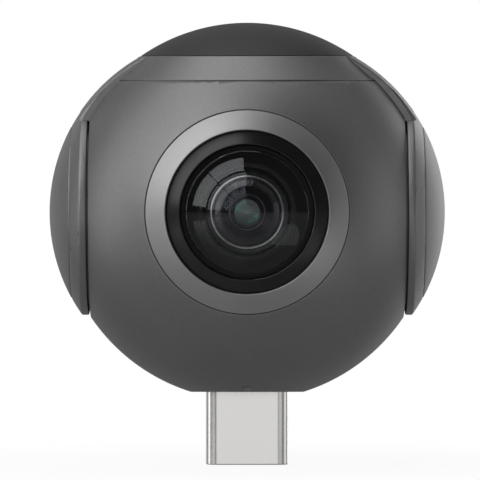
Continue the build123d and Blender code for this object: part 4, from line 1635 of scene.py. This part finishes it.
@dataclass
class LensModule(Assembly):
    """Trim ring, bezel, barrel and glass of a lens, made for the front and copied to the rear.

    Attributes:
        trim_edge: Outer radius of the trim ring.
        trim_inner: Its inner radius.
        trim_bore: Bore of its shelf.
        trim_flush: Height of its outer edge.
        trim_front: Height of its inner edge.
        trim_shelf: Height of its shelf.
        recess_floor: Height of its seat.
        trim_end: Height of its lower end.
        bezel_outer: Outer radius of the bezel.
        bezel_inner: Its inner radius.
        bezel_front: Height of its front edge.
        bezel_back: Height of its outer edge.
        bezel_low: Height of its foot.
        neck: Outer radius of the barrel's neck.
        neck_top: Height of its end.
        dome: Radius, curve and apex of the front lens.
        bowl: Radius and curve of the hollow in its back.
        dome_seat: Height of its seat.
        second: Radius, clear radius and curve of the second lens.
        second_hollow: Radius and curve of the hollow in its back.
        second_faces: Heights of its back and of its front rim.
        third: Radius, clear radius and curve of the third lens.
        third_back: Curve of its back.
        third_faces: Heights of its back and of its front rim.
        lip: Width of the polished edges of the rings behind the dome.
        low: Height of the barrel's rear end.
    """

    trim_edge: float = 9.86
    trim_inner: float = 7.88
    trim_bore: float = 7.1
    trim_flush: float = 16.03
    trim_front: float = 17.15
    trim_shelf: float = 15.73
    recess_floor: float = 15.23
    trim_end: float = 13.73
    bezel_outer: float = 7.82
    bezel_inner: float = 6.52
    bezel_front: float = 17.75
    bezel_back: float = 16.95
    bezel_low: float = 16.43
    neck: float = 6.49
    neck_top: float = 17.35
    dome: tuple[float, float, float] = (5.95, 9.25, 20.0)
    bowl: tuple[float, float] = (3.9, 4.4)
    dome_seat: float = 16.187
    second: tuple[float, float, float] = (4.22, 3.6, 8.0)
    second_hollow: tuple[float, float] = (2.6, 3.0)
    second_faces: tuple[float, float] = (14.587, 15.887)
    third: tuple[float, float, float] = (3.1, 2.45, 5.5)
    third_back: float = -6.0
    third_faces: tuple[float, float] = (13.037, 14.137)
    lip: float = 0.12
    low: float = 8.464

    def pair(self, node: str, way: str, outline: Outline, steps: int, slot: str, finish: str = "",
             second: str = "", where: Callable[[float, float], bool] | None = None, segments: int = 3) -> None:
        """Turn a piece of the front lens, copy it to the rear and hand both over.

        Args:
            node: Name of its CAD node without the side.
            way: How it is made, the end of its name.
            outline: Its outline, by radius and height on the lens axis.
            steps: Number of steps all round.
            slot: Name of its finish, used where no other finish is given.
            finish: Name of its finish, if not the slot's.
            second: Name of the finish of some of its faces.
            where: Tells from a face's radius and height whether it has the second finish.
            segments: Number of steps in each rounding.
        """
        piece = Bench.turn(f"front_{node}_{way}", LENS, outline, steps, segments)
        Bench.smooth(piece, 40.0)
        if where:
            for polygon in piece.data.polygons:
                out = polygon.center / MM - MIDDLE
                polygon.material_index = int(where(math.hypot(out.x, out.z), -out.y))
        rear = Bench.half_turn(piece, f"rear_{node}_{way}")
        looks = [look for look in (finish or slot, second) if look]
        for item, side in ((piece, Side.FRONT), (rear, Side.REAR)):
            self.hand_over(item, f"{side.value}_{node}", slot, *looks)

    def rings(self) -> None:
        """Make the metal trim ring and the glossy black bezel inside it."""
        slope = (self.trim_front - self.trim_flush) / (self.trim_edge - self.trim_inner - 0.12)
        outline = [(self.trim_edge, self.recess_floor, 0.04), (self.trim_edge, self.trim_flush, 0.06),
                   (8.6, self.trim_flush + slope * (self.trim_edge - 8.6)),
                   (self.trim_inner + 0.12, self.trim_front, 0.05), (self.trim_inner, self.trim_front - 0.12, 0.04),
                   (self.trim_inner, self.trim_shelf, 0.03), (self.trim_bore, self.trim_shelf, 0.03),
                   (self.trim_bore, self.trim_end, 0.05), (8.69, self.trim_end, 0.1), (8.69, self.recess_floor, 0.03)]
        self.pair("trim_ring", "turned", outline, 256, "trim_aluminium")
        outline = [(self.bezel_inner, self.bezel_low, 0.02), (self.bezel_outer, self.bezel_low, 0.02),
                   (self.bezel_outer, self.bezel_back, 0.06), (self.bezel_inner + 0.08, self.bezel_front, 0.1),
                   (self.bezel_inner, self.bezel_front - 0.12, 0.05)]
        self.pair("bezel", "turned", outline, 256, "bezel_black", segments=4)

    def barrel(self) -> None:
        """Make the stepped barrel with its seats, neck, flange, body and thread."""
        low, top, seat = self.low, self.neck_top, self.dome_seat
        back, _ = self.second_faces
        floor, _ = self.third_faces
        outside = [(3.5, low, 0.05), (3.5, 11.264, 0.03), (5.0, 11.264, 0.08), (5.0, 13.23, 0.03),
                   (7.07, 13.23, 0.08), (7.07, 16.03, 0.03), (7.85, 16.03, 0.03), (7.85, 16.43, 0.03),
                   (self.neck, 16.43, 0.03), (self.neck, top, 0.08)]
        inside = [(5.98, top, 0.05), (5.98, seat, 0.02), (4.25, seat, 0.03), (4.25, back, 0.02), (3.13, back, 0.03),
                  (3.13, floor, 0.02), (2.45, floor, 0.03), (2.45, 12.514, 0.02), (1.7, 12.514, 0.03),
                  (1.7, 12.164, 0.03), (2.43, 12.164, 0.02), (2.43, low, 0.05)]
        self.pair("lens_barrel", "turned", outside + inside, 160, "black_anodised", "barrel_black")

    def glass(self) -> None:
        """Make the dome and the two meniscus lenses behind it."""
        radius, curve, apex = self.dome
        bowl_radius, bowl_curve = self.bowl
        front = face(apex, curve, 0.0, radius, 40)
        front[-1] = (*front[-1], 0.1)
        back = face(self.dome_seat + sag(bowl_curve, bowl_radius), bowl_curve, bowl_radius, 0.0, 30)
        back[0] = (*back[0], 0.05)
        self.pair("dome_lens", "ground", [*front, (radius, self.dome_seat, 0.06), *back], 192, "dome_glass", "",
                  "dome_back", lambda r, h: h < apex - sag(curve, min(r, radius - 0.11)) - 0.1)

        radius, clear, curve = self.second
        bowl_radius, bowl_curve = self.second_hollow
        low, high = self.second_faces
        outline = [*face(high + sag(curve, clear), curve, 0.0, clear, 24), (radius, high, 0.04), (radius, low, 0.04),
                   *face(low + sag(bowl_curve, bowl_radius), bowl_curve, bowl_radius, 0.0, 24)]
        self.pair("second_lens", "ground", outline, 128, "lens_glass", "second_glass", "edge_black",
                  lambda r, h: r > 2.6 and (h < 14.7 or r > 3.61))

        radius, clear, curve = self.third
        low, high = self.third_faces
        outline = [*face(high + sag(curve, clear), curve, 0.0, clear, 16), (radius, high, 0.04), (radius, low, 0.04),
                   *face(low - sag(-self.third_back, clear), self.third_back, clear, 0.0, 16)]
        self.pair("third_lens", "ground", outline, 128, "lens_glass", "third_glass", "edge_black",
                  lambda r, h: r > 2.46)

    def retainers(self) -> None:
        """Make the ribbed rings that hold the lenses, and the aperture stop."""
        radius, clear, _ = self.second
        ribs = [(radius, 15.89, 0.03), (radius, 16.11, 0.01), (radius - self.lip, 16.17, 0.01)]
        steps, room = 3, radius - clear - 2 * self.lip - 0.06
        for i in range(steps):
            outer = radius - self.lip - room * (i + 0.3) / steps
            inner = radius - self.lip - room * (i + 0.75) / steps
            ribs += [(outer, 16.12, 0.01), (inner, 16.04, 0.02), (inner - 0.03, 16.12, 0.01)]
        ribs += [(clear + self.lip + 0.05, 16.12, 0.01), (clear + self.lip + 0.04, 16.155, 0.005),
                 (clear + 0.03, 16.18, 0.01), (clear, 16.15, 0.02), (clear, 15.89, 0.02)]
        edge = clear + self.lip + 0.05
        self.pair("second_retainer", "turned", ribs, 160, "black_anodised", "", "lip_polished",
                  lambda r, h: h > 16.15 and r < edge)
        radius, clear, _ = self.third
        inside = clear - self.lip
        outline = [(radius, 14.14, 0.03), (radius, 14.58, 0.05), (clear + 0.3, 14.58, 0.03),
                   (inside + 0.07, 14.42, 0.01), (inside, 14.38, 0.02), (inside, 14.28, 0.01), (clear, 14.2, 0.01),
                   (clear, 14.14, 0.01)]
        self.pair("third_retainer", "turned", outline, 128, "black_anodised", "", "lip_violet",
                  lambda r, h: r < inside + 0.07 and h > 14.28)
        outline = [(2.4, 12.014, 0.01), (2.4, 12.16, 0.01), (1.3, 12.16, 0.01), (0.9, 12.06, 0.01),
                   (0.9, 12.014, 0.005)]
        self.pair("aperture_stop", "turned", outline, 96, "black_anodised")

    def build(self) -> None:
        """Make all pieces of both lenses."""
        self.rings()
        self.barrel()
        self.retainers()
        self.glass()


@dataclass
class PlugSet(Assembly):
    """Metal shell of the plug.

    Attributes:
        width: Width of the shell.
        thickness: Its thickness.
        length: How far it stands out of the base.
        inside: How far it goes into the ball.
        wall: Its wall.
        nose: Rounding of its mouth.
    """

    width: float = 8.25
    thickness: float = 2.4
    length: float = 7.25
    inside: float = 4.6
    wall: float = 0.25
    nose: float = 0.12

    @staticmethod
    def stadium(name: str, width: float, thickness: float, low: float, high: float, steps: int = 24) -> Piece:
        """Upright prism with fully round ends.

        Args:
            name: Name of the new object.
            width: Width of the outline.
            thickness: Its thickness.
            low: Height of its lower end.
            high: Height of its upper end.
            steps: Number of steps round each end.

        Returns:
            The new solid.
        """
        radius, reach = thickness / 2, (width - thickness) / 2
        corners = []
        for side in (1, -1):
            for i in range(steps + 1):
                angle = math.radians(-90 + 180 * i / steps)
                out, across = reach + radius * math.cos(angle), radius * math.sin(angle)
                corners.append(Vector((side * out, side * across, low)))
        return Bench.prism(name, corners, Vector((0, 0, high - low)))

    def build(self) -> None:
        """Make the shell and dress it."""
        tube = self.stadium("plug_shell_drawn", self.width, self.thickness, -self.length, self.inside)
        bore = self.stadium("bore", self.width - 2 * self.wall, self.thickness - 2 * self.wall, -self.length - 1,
                            self.inside + 1)
        Bench.combine(tube, bore, Cut.REMOVE)
        Bench.round_edges(tube, self.nose, 4, 40.0, 0.001)
        Bench.smooth(tube)
        self.hand_over(tube, "plug_shell", "plug_nickel")


@dataclass
class InnerWorks(Assembly):
    """The CAD nodes that keep their own shape and get their finishes.

    Attributes:
        finishes: Finish of each node.
        lens_finishes: Finish of each node of a lens, without its side.
    """

    finishes: dict[str, str] = field(default_factory=lambda: {
        "frame_screws": "screw_steel", "main_board": "board_mask", "processor": "chip_black",
        "thermal_pad": "pad_grey", "heat_spreader": "spreader_aluminium", "shield_can": "shield_steel",
        "memory_chip": "memory_black", "board_connectors": "connector_ivory", "board_screws": "screw_steel",
        "sensor_screws": "screw_steel", "status_led": "led_white", "light_pipe": "pipe_clear",
        "plug_core": "plug_black", "plug_contacts": "contact_gold", "plug_latches": "bracket_steel",
        "plug_bracket": "bracket_steel"})
    lens_finishes: dict[str, str] = field(default_factory=lambda: {
        "seal_ring": "seal_rubber", "fourth_lens": "fourth_glass", "fifth_lens": "fifth_glass",
        "fifth_retainer": "black_anodised", "lens_holder": "holder_black", "ir_filter": "filter_glass",
        "image_sensor": "sensor_face", "sensor_board": "board_mask", "flex_cable": "flex_amber"})

    def build(self) -> None:
        """Put a finish on every node."""
        named = dict(self.finishes)
        for side in Side:
            named.update({f"{side.value}_{node}": finish for node, finish in self.lens_finishes.items()})
        for node, finish in named.items():
            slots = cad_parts[node].data.materials
            if not slots:
                slots.append(None)
            for i in range(len(slots)):
                slots[i] = self.wardrobe.get(finish)
            log.info("%s: CAD shape kept, finish %s", node, finish)


def bearing(off: float, turn: float) -> Vector:
    """Direction from the ball's middle.

    Args:
        off: Angle from the front lens's axis, in degrees.
        turn: Angle about it, from the right upwards, in degrees.

    Returns:
        The unit vector.
    """
    off, turn = math.radians(off), math.radians(turn)
    return Vector((math.cos(turn) * math.sin(off), -math.cos(off), math.sin(turn) * math.sin(off)))


@dataclass(frozen=True)
class Softbox:
    """Flat lamp that looks at the ball.

    Attributes:
        name: Name of the lamp.
        off: Its angle from the front lens's axis, in degrees.
        turn: Its angle about the axis, from the right upwards, in degrees.
        size: Its width round the axis and its height, as angles in degrees.
        level: Brightness of its face; 1 is white.
        far: Its distance, in metres.
        shape: Its outline.
    """

    name: str
    off: float
    turn: float
    size: tuple[float, float]
    level: float
    far: float = 0.6
    shape: Shape = Shape.OBLONG

    def hang(self) -> None:
        """Hang the lamp."""
        back = bearing(self.off, self.turn)
        right = bearing(90.0, self.turn + 90.0)
        up = back.cross(right)
        data = bpy.data.lights.new(self.name, "AREA")
        data.shape = self.shape.value
        data.size, data.size_y = (2 * self.far * math.tan(math.radians(angle / 2)) for angle in self.size)
        area = data.size * data.size_y * (math.pi / 4 if self.shape is Shape.OVAL else 1.0)
        data.energy = self.level * math.pi * area
        lamp = bpy.data.objects.new(self.name, data)
        place = back * self.far
        lamp.matrix_world = Matrix((
            (right.x, up.x, back.x, place.x), (right.y, up.y, back.y, place.y),
            (right.z, up.z, back.z, place.z + BALL.height * MM), (0, 0, 0, 1)))
        lamp.visible_camera = False
        bpy.context.scene.collection.objects.link(lamp)


@dataclass(frozen=True)
class Pane:
    """Curved pane of the studio's window, a part of a ball about the camera.

    Attributes:
        name: Name of the pane.
        off: Where it starts and ends, as angles from the front lens's axis in degrees.
        turn: Where it starts and ends round the axis, from the right upwards, in degrees.
        level: Its brightness; 1 is white.
        far: Its distance, in metres.
    """

    name: str
    off: tuple[float, float]
    turn: tuple[float, float]
    level: float
    far: float = 0.9

    def hang(self) -> None:
        """Build the pane and let it glow."""
        steps = 8
        middle = MIDDLE * MM
        places = [middle + bearing(self.off[0] + (self.off[1] - self.off[0]) * i / steps, self.turn[0]) * self.far
                  for i in range(steps + 1)]
        pane = Bench.draw(self.name, places)
        bpy.ops.mesh.spin(steps=12, angle=math.radians(self.turn[0] - self.turn[1]), center=middle, axis=LENS.along)
        Bench.close(pane)
        graph = Graph(self.name)
        haze = graph.noise(graph.place(), 300.0, 2.0, 0.5)
        pane.data.materials.append(graph.done(graph.glow(1.05 * self.level, graph.blend(haze, grey(0.9), grey(1.0)))))


@dataclass
class Studio:
    """Camera, lamps, floor and surroundings.

    Attributes:
        distance: Distance of the camera from the middle plane.
        focal: Focal length of its lens.
        shift: How its picture is shifted.
        floor_level: Height of the floor.
        panes: The panes of the window, high on the left in front of the ball.
        cards: The soft cards round the ball.
        room_mirror: Brightness of the surroundings in reflections.
        room_soft: Brightness of the surroundings as soft light.
        floor_mirror: Brightness of the floor in reflections.
    """

    distance: float = 500.0
    focal: float = 375.0
    shift: tuple[float, float] = (-0.015, -0.058)
    floor_level: float = -7.27
    panes: tuple[Pane, ...] = (
        Pane("pane_outer_right", (50.8, 69.2), (94.2, 134.3), 2.15),
        Pane("pane_outer_left", (50.8, 69.2), (135.7, 173.3), 2.15),
        Pane("pane_inner_right", (31.4, 49.0), (91.3, 134.0), 1.25),
        Pane("pane_inner_left", (31.4, 49.0), (136.0, 176.3), 1.25))
    cards: tuple[Softbox, ...] = (
        Softbox("front_card", 0.0, 90.0, (30.0, 30.0), 0.84, 0.9, Shape.OVAL),
        Softbox("low_card", 46.0, -38.0, (34.0, 26.0), 0.4, 0.052, Shape.OVAL),
        Softbox("side_left", 92.0, 185.0, (44.0, 22.0), 1.6),
        Softbox("side_left_up", 90.0, 137.0, (54.0, 27.0), 0.85),
        Softbox("side_up", 92.0, 98.0, (40.0, 22.0), 1.43),
        Softbox("side_right_up", 92.0, 48.0, (50.0, 22.0), 0.32),
        Softbox("side_right", 92.0, 0.0, (40.0, 22.0), 0.94),
        Softbox("over_up", 116.0, 90.0, (36.0, 24.0), 0.38),
        Softbox("back_left", 146.0, 175.0, (46.0, 34.0), 0.45),
        Softbox("back_up", 146.0, 90.0, (56.0, 34.0), 0.27),
        Softbox("back_right", 146.0, 4.0, (46.0, 34.0), 1.5))
    room_mirror: float = 0.08
    room_soft: float = 0.02
    floor_mirror: float = 0.22

    def camera(self) -> None:
        """Set up the camera square in front of the lens."""
        data = bpy.data.cameras.new("view")
        data.lens = self.focal
        data.sensor_width = 36.0
        data.shift_x, data.shift_y = self.shift
        data.clip_start, data.clip_end = 0.01, 100.0
        eye = bpy.data.objects.new("view", data)
        eye.location = Vector((0, -self.distance, BALL.height)) * MM
        eye.rotation_euler = (math.radians(90), 0, 0)
        bpy.context.scene.collection.objects.link(eye)
        bpy.context.scene.camera = eye

    def surroundings(self) -> None:
        """Make the pale room: white to the camera, dim in reflections."""
        graph = Graph("room", True)
        bpy.context.scene.world = graph.owner
        camera, mirrored = graph.rays()
        strength = camera + (1 - camera) * (mirrored * self.room_mirror + (1 - mirrored) * self.room_soft)
        graph.done(graph.node("ShaderNodeBackground", None, {"Color": (1, 1, 1, 1), "Strength": strength}).outputs[0])

    def floor(self) -> None:
        """Lay the plain pale floor under the plug's tip, white to the camera but for a faint shadow."""
        Bench.clear()
        bpy.ops.mesh.primitive_plane_add(size=6.0, location=(0, 0, self.floor_level * MM))
        ground = bpy.context.object
        ground.name = "floor"
        graph = Graph("floor_white")
        where = graph.place(Vector((0, 0, 0)))
        cloud = graph.noise(where, 40.0, 2.0, 0.5)
        matt = graph.surface(Base_Color=graph.blend(cloud, grey(0.8), grey(0.84)), Roughness=0.9)
        camera, mirrored = graph.rays()
        x, y, _ = graph.parts(where)
        white = camera * radial(x, y).between(10.0, 60.0, 0.94, 1.0)
        gloss = graph.surface(Base_Color=grey(0.0), Roughness=0.12)
        both = graph.node("ShaderNodeAddShader", None, {0: gloss, 1: graph.glow(self.floor_mirror)}).outputs["Shader"]
        inner = graph.either((1 - camera) * mirrored, matt, both)
        ground.data.materials.append(graph.done(graph.either(white, inner, graph.glow(1.0))))

    def build(self) -> None:
        """Set up the whole studio."""
        self.camera()
        for light in (*self.panes, *self.cards):
            light.hang()
        self.surroundings()
        self.floor()
        bpy.context.scene.view_settings.view_transform = "Standard"
        log.info("studio: camera at %.0f mm, floor at %.2f mm", self.distance, self.floor_level)


def corners(box: tuple[Vector, Vector]) -> list[list[float]]:
    """Lowest and highest corner as plain lists."""
    return [list(corner) for corner in box]


def main() -> None:
    """Build and dress the whole camera, then set up the studio."""
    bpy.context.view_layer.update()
    wardrobe = stock()
    for part in (BallShell(wardrobe), HeadbandFrame(wardrobe), Caps(wardrobe), LensModule(wardrobe),
                 PlugSet(wardrobe), InnerWorks(wardrobe), Studio()):
        part.build()
        log.info("%s done", type(part).__name__)
    Bench.clear()


if __name__ == "__main__":
    main()
